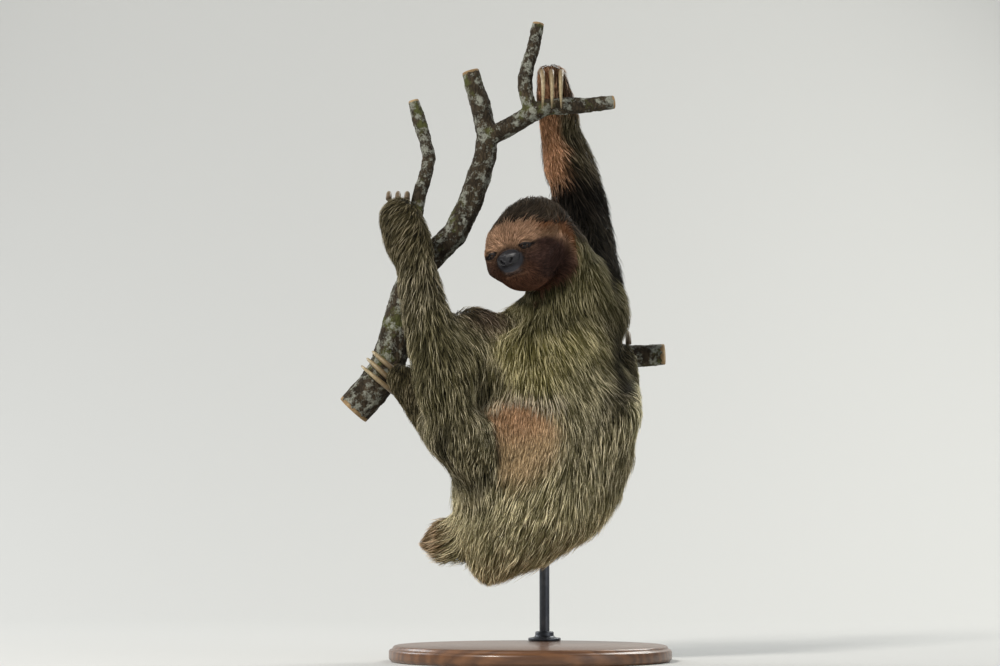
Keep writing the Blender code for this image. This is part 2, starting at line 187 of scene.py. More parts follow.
def ramp(values, low, high):
    """0 at low, 1 at high, smooth between. low may be above high."""
    share = np.clip((values - low) / (high - low), 0.0, 1.0)
    return share * share * (3 - 2 * share)


def bell(values, width):
    """1 at 0, falling smoothly to nothing at about twice the width."""
    return np.exp(-((values / width) ** 2))


def mix(old, new, share):
    """The old values turned into the new ones by this share."""
    return old * (1 - share) + new * share


def owners_of(points):
    """The node of the flesh that each place belongs to."""
    clouds = [node_points(name)[::2] for name in FLESH]
    owners = np.repeat(FLESH, [len(cloud) for cloud in clouds])
    tree = kdtree.KDTree(len(owners))
    for number, place in enumerate(np.concatenate(clouds)):
        tree.insert(place, number)
    tree.balance()
    return owners[[tree.find(place)[1] for place in points]]


def middle(node):
    low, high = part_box(node)
    return np.array((low + high) / 2)


# The head's own axes: x to its left, y up and z out of the face, from the eyes and the nose.
EYE_SPACING = 0.0245
EYE_HEIGHT = -0.0040
EYE_FORWARD = 0.0450
NOSE_FROM_EYES = (-0.0110, 0.0095)
eyes_middle = (middle("eye_left") + middle("eye_right")) / 2
across = unit(middle("eye_left") - middle("eye_right"))
down_nose = middle("nose") - eyes_middle
down_nose = unit(down_nose - across * (down_nose @ across))
bend = math.atan2(*NOSE_FROM_EYES)
forward = down_nose * math.cos(bend) - np.cross(down_nose, across) * math.sin(bend)
head_turn = np.stack([across, np.cross(forward, across), forward], axis=1)
head_middle = eyes_middle - head_turn @ np.array((0.0, EYE_HEIGHT, EYE_FORWARD))


def to_head(points):
    return (points - head_middle) @ head_turn


def from_head(points):
    return points @ head_turn.T + head_middle


def two_sided(points):
    """The places with the head's right side laid over its left."""
    return np.abs(points) * (1, 0, 0) + points * (0, 1, 1)


def ellipsoid(points, centre, halves):
    """About how far points are outside an ellipsoid."""
    centred = points - np.array(centre)
    near = np.linalg.norm(centred / halves, axis=1)
    steep = np.linalg.norm(centred / np.square(halves), axis=1)
    return near * (near - 1.0) / np.maximum(steep, 1e-9)


def joined(a, b, softness):
    """The smaller of two distances, with the crease between the two shapes filled."""
    share = np.clip(0.5 + 0.5 * (b - a) / softness, 0.0, 1.0)
    return b + (a - b) * share - softness * share * (1 - share)


# The bare head in its own axes: the middle and half sizes of each swelling, and how softly it joins.
SKULL = ((0.0, 0.004, -0.012), (0.0480, 0.0450, 0.0470))
SWELLINGS = (
    ((0.0, -0.006, 0.010), (0.0505, 0.0440, 0.0385), 0.012),
    ((0.0, 0.012, 0.023), (0.0340, 0.0220, 0.0205), 0.012),
    ((0.0290, -0.0180, 0.0290), (0.0150, 0.0120, 0.0110), 0.012),
    ((0.0, -0.037, 0.0155), (0.0275, 0.0165, 0.0300), 0.012),
    ((0.0, -0.0185, 0.0360), (0.0225, 0.0165, 0.0195), 0.010),
    ((0.0245, -0.0025, 0.0350), (0.0145, 0.0120, 0.0128), 0.010),
)
EYE_SOCKET = ((0.0248, -0.0046, 0.0555), (0.0125, 0.0062, 0.0085))


def head_distance(points):
    """How far places, in the head's axes, lie outside the bare head."""
    places = two_sided(points)
    form = ellipsoid(places, *SKULL)
    for centre, halves, softness in SWELLINGS:
        form = joined(form, ellipsoid(places, centre, halves), softness)
    return -joined(-form, ellipsoid(places, *EYE_SOCKET), 0.004)


def slope(points, step=0.0004):
    """The way out of the bare head at each place."""
    sides = [head_distance(points + step * axis) - head_distance(points - step * axis) for axis in np.eye(3)]
    return unit(np.stack(sides, axis=1))


EYE_RADIUS = 0.0056
LID_RADIUS = 0.0066
LID_HALF, LID_GAP = 0.0057, 0.0016
LID_SLANT = math.radians(-6)
EYE_OUTWARD = 0.34
# Brow, upper fold and bag: rise, height above the eye, width, and where it ends and is full at the sides.
LID_FOLDS = ((0.0017, 0.0088, 0.0030, 0.012, 0.004), (-0.0009, 0.0046, 0.0008, 0.009, 0.003),
             (-0.0007, -0.0056, 0.0007, 0.008, 0.003))
MOUTH_LINE = np.array((
    (0.000, -0.0290, 0.0500), (0.008, -0.0287, 0.0485), (0.016, -0.0270, 0.0440),
    (0.023, -0.0245, 0.0370), (0.030, -0.0215, 0.0290), (0.036, -0.0175, 0.0215),
))


def eye_axes(side):
    """The eye's middle and its own axes: outward along the face, up, and out of the eye."""
    out = unit(np.array((side * EYE_OUTWARD, 0.0, 1.0)))
    up = np.array((0.0, 1.0, 0.0))
    along = np.cross(up, out) * side
    lean = math.cos(LID_SLANT) * along + math.sin(LID_SLANT) * up
    rise = math.cos(LID_SLANT) * up - math.sin(LID_SLANT) * along
    return np.array((side * EYE_SPACING, EYE_HEIGHT, EYE_FORWARD)), lean, rise, out


def with_lids(points):
    """Lays the lids over each eyeball and opens them in a low almond."""
    for side in (1, -1):
        centre, along, up, out = eye_axes(side)
        own = points - centre
        u, v, w = np.abs(own @ along), own @ up, own @ out
        wide = np.hypot(u, v)
        dome = np.sqrt(np.maximum(LID_RADIUS**2 - wide**2, 0.0)) - 0.0004
        level = -joined(-w, -np.where(wide < LID_RADIUS * 0.98, dome, -0.01), 0.0024)
        for rise, height, width, end, full in LID_FOLDS:
            level = level + rise * bell(v - height, width) * ramp(u, end, full)
        bow = 1.0 - np.clip(u / LID_HALF, 0, 1) ** 2.2
        shut = np.abs(v + 0.0008) / np.maximum(LID_GAP * bow, 1e-5)
        level = level + 0.0006 * bell(shut - 1.5, 0.35) * (u < LID_HALF)
        level = mix(level, 0.0012, ramp(shut, 1.15, 0.85) * (u < LID_HALF))
        near = (w > -0.004) & (wide < 0.013)
        points = points + np.where(near, level - w, 0.0)[:, None] * out
    return points


def to_line(points, line):
    """The distance from each point to a line through the given places."""
    best = np.full(len(points), np.inf)
    for start, end in zip(line, line[1:]):
        leg = end - start
        share = np.clip((points - start) @ leg / (leg @ leg), 0, 1)[:, None]
        best = np.minimum(best, np.linalg.norm(points - start - share * leg, axis=1))
    return best


def with_mouth(points):
    """Sinks the line of the mouth, rounds the lips beside it and creases the chin."""
    places = two_sided(points)
    away, side = to_line(places, MOUTH_LINE), places[:, 0]
    lip = 0.0009 * bell(away - 0.0027, 0.0016) * ramp(side, 0.026, 0.012)
    sunk = 0.0024 * bell(away, 0.0011) * ramp(side, 0.038, 0.026)
    crease = 0.0010 * bell(away - 0.0062, 0.0010) * ramp(side, 0.022, 0.006) * (points[:, 1] < -0.0285)
    return points + slope(points) * (lip - sunk - crease)[:, None]


def inner_forearm(places, outwards, owners):
    """The short-haired inner side of the raised left forearm."""
    turned = ramp(outwards @ unit(np.array((-0.75, -0.66, 0.0))), 0.25, 0.60)
    turned = turned * ramp(places[:, 0], 0.048, 0.041) * ramp(places[:, 2], 0.602, 0.618)
    return turned * np.isin(owners, ("forearm_left", "hand_left"))


def middle_of_root(claw):
    """The thick end of a claw, which is the end nearest to its hand or foot."""
    places = node_points(claw)
    away = np.linalg.norm(places - middle(claw[len("claw_"):-2]), axis=1)
    return places[np.argsort(away)[:12]].mean(axis=0)


def subdivided(mesh, chosen, cuts):
    """Cuts the faces whose vertices are all chosen into a finer grid."""
    bm = bmesh.new()
    bm.from_mesh(mesh)
    edges = [edge for edge in bm.edges if chosen[edge.verts[0].index] and chosen[edge.verts[1].index]]
    bmesh.ops.subdivide_edges(bm, edges=edges, cuts=cuts, use_grid_fill=True)
    bm.to_mesh(mesh)
    bm.free()
    mesh.update()


def in_front(points):
    """How far a place counts as face: 1 on the face and 0 behind the cheeks."""
    own = to_head(points)
    reach = ramp(np.linalg.norm(own - (0, -0.006, 0.012), axis=1), 0.075, 0.062)
    return ramp(own[:, 2], -0.018, 0.002) * reach


# All the flesh fused, then worn down by the coat's depth.
skin = fused("skin", FLESH, CLOSING, SKIN_VOXEL, 2)
points, edges = points_of(skin.data), edges_of(skin.data)
coat_tips = BVHTree.FromPolygons(points.tolist(), [tuple(face.vertices) for face in skin.data.polygons])
owner = owners_of(points)
depth = np.array([COAT_DEPTH[kind_of(name)] for name in owner])
claw_roots = np.array([middle_of_root(name) for name in CLAWS])
nearest_claw = np.min(np.linalg.norm(points[:, None] - claw_roots, axis=2), axis=1)
depth = depth * (0.25 + 0.75 * ramp(nearest_claw, 0.006, 0.020))
depth = averaged(depth * (1 - 0.6 * inner_forearm(points, normals_of(skin.data), owner)), edges, 14)
for _ in range(EROSION_STEPS):
    points = averaged(points - normals_of(skin.data) * depth[:, None] / EROSION_STEPS, edges, 1)
    set_points(skin.data, points)
remeshed(skin, SKIN_VOXEL, 2)

# The face in a finer grid, finest round the eyes, laid on the head's form.
subdivided(skin.data, in_front(points_of(skin.data)) > 0.3, 2)
own = to_head(points_of(skin.data))
fine = (np.abs(own[:, 0]) < 0.040) & (own[:, 1] > -0.036) & (own[:, 1] < 0.010) & (own[:, 2] > 0.020)
subdivided(skin.data, fine, 1)
own = to_head(points_of(skin.data))
from_eye = np.minimum(*[np.linalg.norm(own - eye_axes(side)[0], axis=1) for side in (1, -1)])
subdivided(skin.data, from_eye < 0.0115, 1)
points = averaged(points_of(skin.data), edges_of(skin.data), 1)
own = to_head(points)
for _ in range(4):
    own = own - slope(own) * head_distance(own)[:, None]
set_points(skin.data, mix(points, from_head(with_mouth(with_lids(own))), in_front(points)[:, None]))

bpy.context.view_layer.objects.active = skin
skin.select_set(True)
bpy.ops.object.mode_set(mode="EDIT")
bpy.ops.mesh.select_all(action="SELECT")
bpy.ops.uv.smart_project(angle_limit=math.radians(66), island_margin=0.002)
bpy.ops.object.mode_set(mode="OBJECT")
skin.select_set(False)
skin.data.uv_layers[0].name = "OFBake"

edges = edges_of(skin.data)
points = points_of(skin.data)
normals = unit(averaged(normals_of(skin.data), edges, 2))
own = to_head(points)
owner = owners_of(points)
owner_kind = np.array([kind_of(name) for name in owner])


def on(*names):
    """Which vertices lie on the named nodes."""
    return np.isin(owner, names)


def share_of(*kinds, rounds=10):
    """1 on the named parts of the body and 0 elsewhere, softened along the skin."""
    return averaged(on(*kinds) | np.isin(owner_kind, kinds), edges, rounds)


def blob(centre, halves, soft=0.35, places=None):
    """1 inside an ellipsoid and 0 outside, with a soft border."""
    away = np.linalg.norm(((points if places is None else places) - centre) / halves, axis=1)
    return ramp(away, 1 + soft, 1 - soft)


def noise_at(places, scale, seed, base=(7.3, 3.1, 5.7)):
    """Smooth noise from -1 to 1 at each place, its lumps about 1/scale across."""
    shift = Vector(np.multiply(base, seed))
    return np.array([noise.noise(Vector(place) * scale + shift) for place in places])


def wander(scale, seed, amount=1.0):
    return amount * noise_at(points, scale, seed)


def torn(amount):
    """The vertices' places, moved so that a zone's border frays by this much."""
    return points + amount * ragged[:, None]


def facing(*direction):
    """How squarely the skin faces a direction, from -1 to 1."""
    return normals @ unit(np.array(direction, float))


# The face is a flat disc of short hair, with a hood of longer hair from its rim backwards.
NOSE_ROOT = (0.0, -0.0172, 0.0520)
x, y, z = points.T
own_x, own_y, own_z = own.T
side_x = np.abs(own_x)
mirrored = two_sided(own)
hood_edge = 0.0262 - 6.2 * own_x**2 + wander(110, 5, 0.0022)
rim_place = 0.0160 * ramp(-own_y, 0.034, 0.062) - 0.0158
disc = ramp(hood_edge - own_y, -0.0022, 0.0022) * ramp(own_z - rim_place + wander(90, 7, 0.002), -0.0026, 0.0026)
disc = ramp(disc * share_of("head", rounds=3) * ramp(own_y, -0.072, -0.064), 0.35, 0.65)
nose_skin = blob(NOSE_ROOT, (0.0190, 0.0132, 0.0180), 0.12, own + wander(300, 9, 0.0006)[:, None])
lips = bell(to_line(mirrored, MOUTH_LINE), 0.0030) * ramp(side_x, 0.0150, 0.0090)
lip_light = bell(to_line(mirrored, MOUTH_LINE + (0, 0.0022, 0)), 0.0011) * ramp(side_x, 0.0130, 0.0080)
lids = slits = np.zeros(len(points))
for side in (1, -1):
    centre, along, up, out = eye_axes(side)
    u, v = (own - centre) @ along, (own - centre) @ up
    almond = np.abs(v + 0.0006) / np.maximum(0.0046 * (1 - (u / 0.0118) ** 2), 1e-5)
    lids = np.maximum(lids, ramp(almond, 1.30, 0.75) * (np.abs(u) < 0.0118) * in_front(points))
    slits = np.maximum(slits, ramp(np.hypot(u / 1.65, v), 0.0050, 0.0038) * in_front(points))
bare = np.clip(nose_skin + lips + slits, 0, 1)

# The cheek's own coordinates: along an axis that rises towards the nose, and across it.
CHEEK_RISE = math.radians(12)
a, b = own_z - 0.0200, own_y + 0.0290
a, b = a * math.cos(CHEEK_RISE) + b * math.sin(CHEEK_RISE), b * math.cos(CHEEK_RISE) - a * math.sin(CHEEK_RISE)
behind = ramp(np.hypot(a / 0.036, b / 0.030) + wander(110, 8, 0.12), 0.85, 1.15) * ramp(own_z, 0.040, 0.024)
soft_cheek = ramp(np.hypot(a / 0.0390, b / 0.0230), 1.25, 0.75) * ramp(side_x, 0.008, 0.020)
mask = ramp(np.hypot((a - 0.003) / 0.0325, b / 0.0172) + wander(120, 4, 0.16), 1.30, 0.70)
mask = mask * ramp(side_x, 0.012, 0.023)
for centre, halves, soft, strength in (
    ((0.0390, -0.0070, 0.0320), (0.0130, 0.0066, 0.0180), 0.45, 1.0),
    ((0.0400, -0.0140, 0.0310), (0.0150, 0.0090, 0.0160), 0.45, 1.0),
    ((0.0265, -0.0160, 0.0430), (0.0150, 0.0095, 0.0150), 0.5, 0.75),
):
    mask = np.maximum(mask, strength * blob(centre, halves, soft, mirrored))
mask = mask * (0.55 + 0.45 * ramp(own_x, -0.010, 0.010))

# The markings of the body, with painted shade and painted rim light laid among them. The patch on the belly ends at
# the crease beside the right thigh.
front = ramp(y, 0.035, -0.020)
ragged = wander(55, 1) + 0.5 * wander(140, 2)
trunk = share_of("trunk", "neck")
lit_side = facing(1.0, 0.0, 0.0)
green = blob((0.012, -0.080, 0.376), (0.088, 0.110, 0.060), 0.5) * share_of("trunk", "neck", rounds=16)
# A painted shadow: a dark band down the animal's left flank, below the raised arm.
painted_shadow_band = blob((0.103, -0.04, 0.376), (0.022, 0.10, 0.056), 0.4, torn(0.005)) * ramp(lit_side, 0.98, 0.85)
# A painted rim light: a pale strip where the left side faces squarely outwards, as if lit from behind.
painted_rim_light = ramp(z, 0.27, 0.31) * ramp(x, 0.110, 0.122) * ramp(lit_side, 0.80, 0.95) * ramp(z, 0.43, 0.41)
crease = np.interp(z, (0.250, 0.274, 0.291, 0.310), (-0.0390, -0.0425, -0.0475, -0.0600))
patch = blob((-0.020, -0.095, 0.283), (0.058, 0.062, 0.060), 0.22, torn(0.003))
patch = patch * ramp(x - crease, -0.003, 0.002) * front
# Painted shade along the crease between the belly patch and the right thigh.
shaded_fold = bell(x - crease + 0.001, 0.0030) * ramp(z, 0.240, 0.252) * ramp(z, 0.316, 0.304) * front
# Painted shade in a crescent below and left of the right thigh.
shade_under_thigh = bell(np.hypot((x + 0.0675) / 0.0275, (z - 0.2725) / 0.0310) - 1.35, 0.28)
shade_under_thigh = shade_under_thigh * ramp(-0.7 * (x + z - 0.205), -0.004, 0.014) * front
# The raised left arm up to the middle of the forearm, nearly black: partly its dark brown hair, partly painted shade.
dark_and_shaded_arm = share_of("upper_arm_left", "forearm_left") * ramp(z, 0.43, 0.49) * ramp(z, 0.650, 0.605)
inner = averaged(inner_forearm(torn(0.004), normals, owner), edges, 3)


def srgb(red, green, blue):
    """A colour as a paint card gives it, in linear light."""
    card = np.array((red, green, blue)) / 255
    return np.where(card <= 0.04045, card / 12.92, ((card + 0.055) / 1.055) ** 2.4)


tint = np.tile(srgb(126, 118, 84), (len(points), 1))
for card, share in (
    ((160, 152, 108), 0.95 * ramp(z + 0.02 * ragged, 0.28, 0.20) * share_of("trunk")),
    ((110, 102, 75), 0.8 * share_of("forearm", "shin")),
    ((158, 149, 110), 0.85 * share_of("thigh")),
    ((98, 89, 60), share_of("hand", "foot")),
    ((130, 106, 72), ramp(x + 0.01 * ragged, -0.075, -0.100) * ramp(z, 0.205, 0.175) * share_of("trunk", "tail")),
    ((132, 124, 68), green * (0.85 + 0.25 * ragged)),
    ((122, 116, 88), 0.6 * blob((0.066, -0.08, 0.345), (0.040, 0.10, 0.045), 0.5)),
    ((112, 106, 64), 0.45 * ramp(z + 0.02 * ragged, 0.33, 0.42) * ramp(y, 0.0, 0.05) * share_of("trunk")),
    ((108, 102, 62), 0.55 * blob((-0.118, -0.10, 0.37), (0.05, 0.08, 0.07), 0.5)),
    # Painted shade below the left shoulder, at the top of the left flank.
    ((66, 61, 35), 0.85 * blob((0.098, -0.03, 0.415), (0.026, 0.09, 0.050), 0.5)),
    # Painted shadow down the left flank.
    ((31, 28, 19), 0.94 * painted_shadow_band),
    # Painted rim light on the left side.
    ((178, 170, 126), 0.9 * painted_rim_light),
    # Painted rim light along the outer edge of the left shin.
    ((172, 166, 122), 0.8 * share_of("shin_left") * ramp(x, 0.108, 0.120)),
    ((196, 168, 126), patch),
    ((196, 152, 112), 0.85 * patch * blob((-0.022, -0.10, 0.308), (0.052, 0.08, 0.032), 0.6)),
    # Painted shade in the crease beside the right thigh.
    ((52, 38, 28), 0.75 * shaded_fold),
    # Painted shade under the right thigh.
    ((56, 52, 35), 0.65 * shade_under_thigh),
    ((70, 53, 44), 0.85 * blob((-0.056, -0.04, 0.440), (0.036, 0.085, 0.028), 0.45, torn(0.004))),
    ((78, 68, 46), 0.75 * share_of("forearm_left")),
    # Dark hair and painted shade on the raised left arm.
    ((26, 21, 15), 0.95 * dark_and_shaded_arm),
    ((216, 160, 116), 0.95 * inner),
    ((150, 106, 76), 0.60 * share_of("hand_left") * ramp(z, 0.69, 0.71)),
    ((64, 53, 39), share_of("head", rounds=6) * ramp(own_y, -0.012, 0.010)),
    ((101, 95, 58), share_of("neck", "head", rounds=8) * ramp(own_y, 0.010, -0.012)),
    ((188, 148, 116), disc),
    ((118, 72, 36), 0.92 * disc * behind),
    # Dark reddish brown on the chin: partly its own colour, partly painted shade under the jaw.
    ((92, 56, 36), disc * ramp(own_y + wander(90, 6, 0.003), -0.030, -0.040)),
    ((88, 60, 48), 0.85 * disc * soft_cheek),
    ((74, 51, 43), disc * mask),
    ((120, 92, 66), 0.7 * disc * blob((0.049, 0.004, 0.020), (0.012, 0.007, 0.022), 0.5, mirrored)),
    ((26, 20, 19), lids),
    ((100, 66, 48), 0.8 * disc * ramp(own_y, -0.019, -0.027) * ramp(side_x, 0.030, 0.020)),
    ((78, 56, 42), 0.75 * blob(NOSE_ROOT, (0.0225, 0.0165, 0.0200), 0.18, own)),
    ((30, 29, 33), ramp(nose_skin, 0.0, 0.5)),
    ((98, 101, 108), 0.85 * lips),
    ((136, 140, 146), 0.7 * lip_light),
):
    tint = mix(tint, srgb(*card), np.clip(share, 0, 1)[:, None])

# Which way the hair lies: down the body, back down raised arms, out from the nose over the face.
outward = np.clip((x - 0.010) / 0.085, -1, 1)[:, None]
to_rump = unit((-0.052, 0.0, 0.090) - points)
to_tail = unit((-0.172, 0.041, 0.133) - points)
from_nose = np.c_[own_x, own_y + 0.014, np.minimum(own_z, 0)] @ head_turn.T
arm_top = share_of("upper_arm_right") * ramp(facing(0.0, 0.0, 1.0), 0.30, 0.75)
lie = np.tile((0.0, 0.0, -1.0), (len(points), 1))
for way, share in (
    (outward * (0.42, 0.0, 0.0) + (0.24, 0.35, -1.0), trunk * ramp(z, 0.27, 0.33)),
    (to_rump + (0.0, 0.25, 0.0), trunk * ramp(z, 0.30, 0.20)),
    (to_tail, ramp(x, -0.055, -0.095) * ramp(z, 0.215, 0.180) * share_of("trunk", "tail")),
    ((-0.60, -0.1, -0.80), share_of("hand_right")),
    ((0.25, 0.0, -1.0), share_of("forearm_right") * ramp(z, 0.46, 0.36)),
    ((0.70, 0.1, -0.80), share_of("forearm_left") * ramp(facing(1.0, -0.5, 0.0), 0.0, 0.6)),
    ((-0.05, 0.0, -1.0), share_of("thigh_right")),
    ((0.80, -0.40, -0.45), arm_top),
    ((0.55, 0.35, -0.8), share_of("neck") * ramp(x, 0.03, 0.06)),
    ((0.05, -0.15, -1.0),
     share_of("head", "neck", rounds=6) * ramp(own_z, -0.060, -0.030) * ramp(own_y, 0.020, 0.0)),
    (from_nose, np.maximum(disc, share_of("head", rounds=6) * ramp(own_y, 0.000, 0.020))),
):
    lie = mix(lie, unit(np.broadcast_to(way, lie.shape)), np.clip(share, 0, 1)[:, None])
lie = lie + np.stack([wander(14, seed, 0.30) for seed in (11, 12, 13)], axis=1) * (1 - 0.6 * disc)[:, None]
for _ in range(6):
    lie = averaged(unit(lie - normals * np.sum(lie * normals, axis=1)[:, None]), edges, 3)
lie = unit(lie - normals * np.sum(lie * normals, axis=1)[:, None])


def by_part(**values):
    """One value for each vertex by the part that it is on, softened along the skin."""
    return averaged([values[kind] for kind in owner_kind], edges, 10)


# How deep the coat is, how long and thick its hairs are, and how close they stand.
fringe = ramp(z, 0.321, 0.330) * ramp(z, 0.352, 0.342) * front * trunk * ramp(np.abs(x + 0.018), 0.056, 0.040)
hood = share_of("head") * ramp(own_y, 0.0, 0.02)
muzzle = np.clip(blob((0, -0.018, 0.050), (0.026, 0.020, 0.018), 0.35, own) + lids, 0, 1)
under_chin = blob((-0.008, -0.03, 0.447), (0.024, 0.035, 0.018), 0.4)
beside_patch = share_of("thigh_right", rounds=6) * ramp(facing(1.0, -0.3, 0.0), 0.2, 0.7)
beside_patch = np.maximum(beside_patch, shaded_fold) * (1 - patch)
depth = np.array([coat_tips.find_nearest(place)[3] for place in points])
depth = averaged(np.clip(depth, 0.0008, 0.030), edges, 4)
depth = depth * (1 - np.maximum(0.25 * patch, 0.65 * beside_patch)) * (1 - 0.4 * arm_top)
length = by_part(head=0.028, neck=0.030, trunk=0.036, tail=0.020, upper_arm=0.032, forearm=0.029,
                 hand=0.019, thigh=0.028, shin=0.026, foot=0.016) * (1 + wander(30, 21, 0.25))
length = length * (1 - 0.5 * beside_patch) * (1 + 0.15 * fringe) * (1 + 0.25 * hood)
for size, share in ((0.014, patch), (0.009, inner), (0.0080, disc), (0.0030, muzzle)):
    length = mix(length, size, share)
girth = by_part(head=0.0008, neck=0.0008, trunk=0.00092, tail=0.0009, upper_arm=0.0009, forearm=0.00088,
                hand=0.0008, thigh=0.0009, shin=0.0009, foot=0.0008) * (1 + 0.70 * fringe)
for size, share in ((0.00062, disc), (0.0007, np.maximum(patch, inner)), (0.00042, muzzle)):
    girth = mix(girth, size, share)
crowd = 1.0 / np.maximum(length * girth, 1e-7) ** 0.75
crowd = crowd * (1 + 1.5 * under_chin) * (1 - np.clip(bare * 1.6, 0, 1))
length = length * (1 - 0.4 * under_chin)

plush = np.clip(disc + 0.8 * inner + 0.95 * patch + 0.5 * hood, 0, 1)
mark(skin.data, "FLOAT_VECTOR", nrm=normals, lie=lie, root=points)
mark(skin.data, depth=depth, length=length, girth=girth, crowd=crowd, bare=bare, plush=plush, fringe=fringe)
mark(skin.data, "FLOAT_COLOR", tint=np.c_[np.clip(tint, 0, 1), np.ones(len(points))])


class Wire:
    """One output in a node tree. Arithmetic on it adds Math nodes, or Vector Math nodes on a vector."""

    def __init__(self, tree, socket=None):
        self.tree, self.socket = tree, socket

    def node(self, kind, settings=(), inputs=(), output=0):
        """Adds a node, with its settings first and then the values or links of its sockets."""
        made = self.tree.nodes.new(kind)
        for name, value in dict(settings).items():
            setattr(made, name, value)
        for key, value in dict(inputs).items():
            if isinstance(value, Wire):
                self.tree.links.new(value.socket, made.inputs[key])
            else:
                made.inputs[key].default_value = value
        return Wire(self.tree, made.outputs[output])

    def is_vector(self, value):
        if isinstance(value, Wire):
            return value.socket.type in ("VECTOR", "RGBA")
        return not isinstance(value, (int, float))

    def maths(self, operation, *values):
        vectors = [self.is_vector(value) for value in values]
        if operation == "MULTIPLY" and sum(vectors) == 1:
            vector, number = values if vectors[0] else values[::-1]
            return self.node("ShaderNodeVectorMath", {"operation": "SCALE"}, {0: vector, 3: number})
        if not any(vectors):
            return self.node("ShaderNodeMath", {"operation": operation}, dict(enumerate(values)))
        return self.node("ShaderNodeVectorMath", {"operation": operation}, dict(enumerate(values)),
                         int(operation == "DOT_PRODUCT"))

    def clamped(self, low=0.0, high=1.0):
        return self.maths("MINIMUM", self.maths("MAXIMUM", self, low), high)

    def banded(self, stops):
        """This number turned to a colour, which changes evenly from stop to stop."""
        made = self.node("ShaderNodeValToRGB", inputs={0: self})
        elements = made.socket.node.color_ramp.elements
        while len(elements) < len(stops):
            elements.new(0.5)
        for element, (place, colour) in zip(elements, stops):
            element.position, element.color = place, (*colour, 1.0)
        return made


for sign, kind in (("add", "ADD"), ("sub", "SUBTRACT"), ("mul", "MULTIPLY"), ("pow", "POWER")):
    setattr(Wire, f"__{sign}__", lambda a, b, kind=kind: a.maths(kind, a, b))
    setattr(Wire, f"__r{sign}__", lambda a, b, kind=kind: a.maths(kind, b, a))


def mixed(a, b, share):
    """Colour a turning to colour b. At least one of the three is a wire."""
    wire = next(value for value in (a, b, share) if isinstance(value, Wire))
    a, b = [value if isinstance(value, Wire) else (*value, 1.0) for value in (a, b)]
    return wire.node("ShaderNodeMix", {"data_type": "RGBA"}, {0: share, 6: a, 7: b}, 2)


def attribute(wire, name, output=2):
    return wire.node("ShaderNodeAttribute", {"attribute_name": name}, output=output)


def cloud(place, scale, detail=3.0, roughness=0.55):
    """Smooth noise between 0 and 1."""
    return place.node("ShaderNodeTexNoise", inputs={"Vector": place, "Scale": scale, "Detail": detail,
                                                    "Roughness": roughness})


def bumped(height, strength, distance):
    return height.node("ShaderNodeBump", inputs={"Height": height, "Strength": strength, "Distance": distance})


def finish(name, paint, **constants):
    """A material whose Principled sockets take the constants, and the wires that paint gives.

    paint is given a wire to start from, which is each point's place in the piece's own axes.
    """
    made = bpy.data.materials.new(name)
    made.use_nodes = True
    shader = made.node_tree.nodes["Principled BSDF"]
    for socket, value in constants.items():
        shader.inputs[socket.replace("_", " ")].default_value = value
    if paint:
        place = Wire(made.node_tree).node("ShaderNodeTexCoord", output=3)
        for socket, value in paint(place).items():
            made.node_tree.links.new(value.socket, shader.inputs[socket])
    return made


def marks_and_painted_light(wire):
    """The animal's markings with the painted shade and rim light laid among them, the same on hide and hair: the laid
    tint, mottled at two scales.
    """
    root = attribute(wire, "root", 1)
    return attribute(wire, "tint", 0) * (0.52 + 0.54 * cloud(root, 24.0, 2.0) + 0.46 * cloud(root, 130.0, 2.0))


def hide_paint(place):
    bare_share = attribute(place, "bare")
    pores = cloud(place, 900.0, 4.0, 0.6)
    # Under the hair the hide is darkened to about a third of its tint: painted shade deep in the coat. Bare skin
    # keeps its full tint.
    return {
        "Base Color": marks_and_painted_light(place) * (0.34 + 0.66 * bare_share) * (0.8 + 0.4 * pores),
        "Roughness": 0.88 - 0.30 * bare_share,
        "Normal": bumped(pores + cloud(place, 260.0, 3.0, 0.6), 0.45, 0.0006),
    }


fitted(skin, finish("hide", hide_paint, Specular_IOR_Level=0.25), "coat", *FLESH)

# ---------------------------------------------------------------- the coat
# Long coarse hair over a dense undercoat, hanging in overlapping locks, with short plush on the face.
# Each lock is a slim closed spindle that starts in the hide and is bent along the lie of the hair.

PATCH_WIDTH = 0.003
SPINDLE_CORNERS = ((-1.0, 0.0), (1.0, 0.0), (0.0, 1.0))
SPINDLE_GIRTHS = (0.0, 0.9, 0.85, 0.0)


def lofted(rings, start=None, end=None):
    """A closed bmesh over rings of places. A fan to start or end closes that side, or else one face does."""
    bm = bmesh.new()
    rows = [[bm.verts.new(place) for place in ring] for ring in rings]
    for low, high in zip(rows, rows[1:]):
        for j in range(len(low)):
            bm.faces.new((low[j - 1], low[j], high[j], high[j - 1]))
    for row, point in ((rows[0], start), (rows[-1], end)):
        if point is None:
            bm.faces.new(row)
        else:
            centre = bm.verts.new(point)
            for j in range(len(row)):
                bm.faces.new((row[j - 1], row[j], centre))
    bmesh.ops.recalc_face_normals(bm, faces=bm.faces)
    return bm


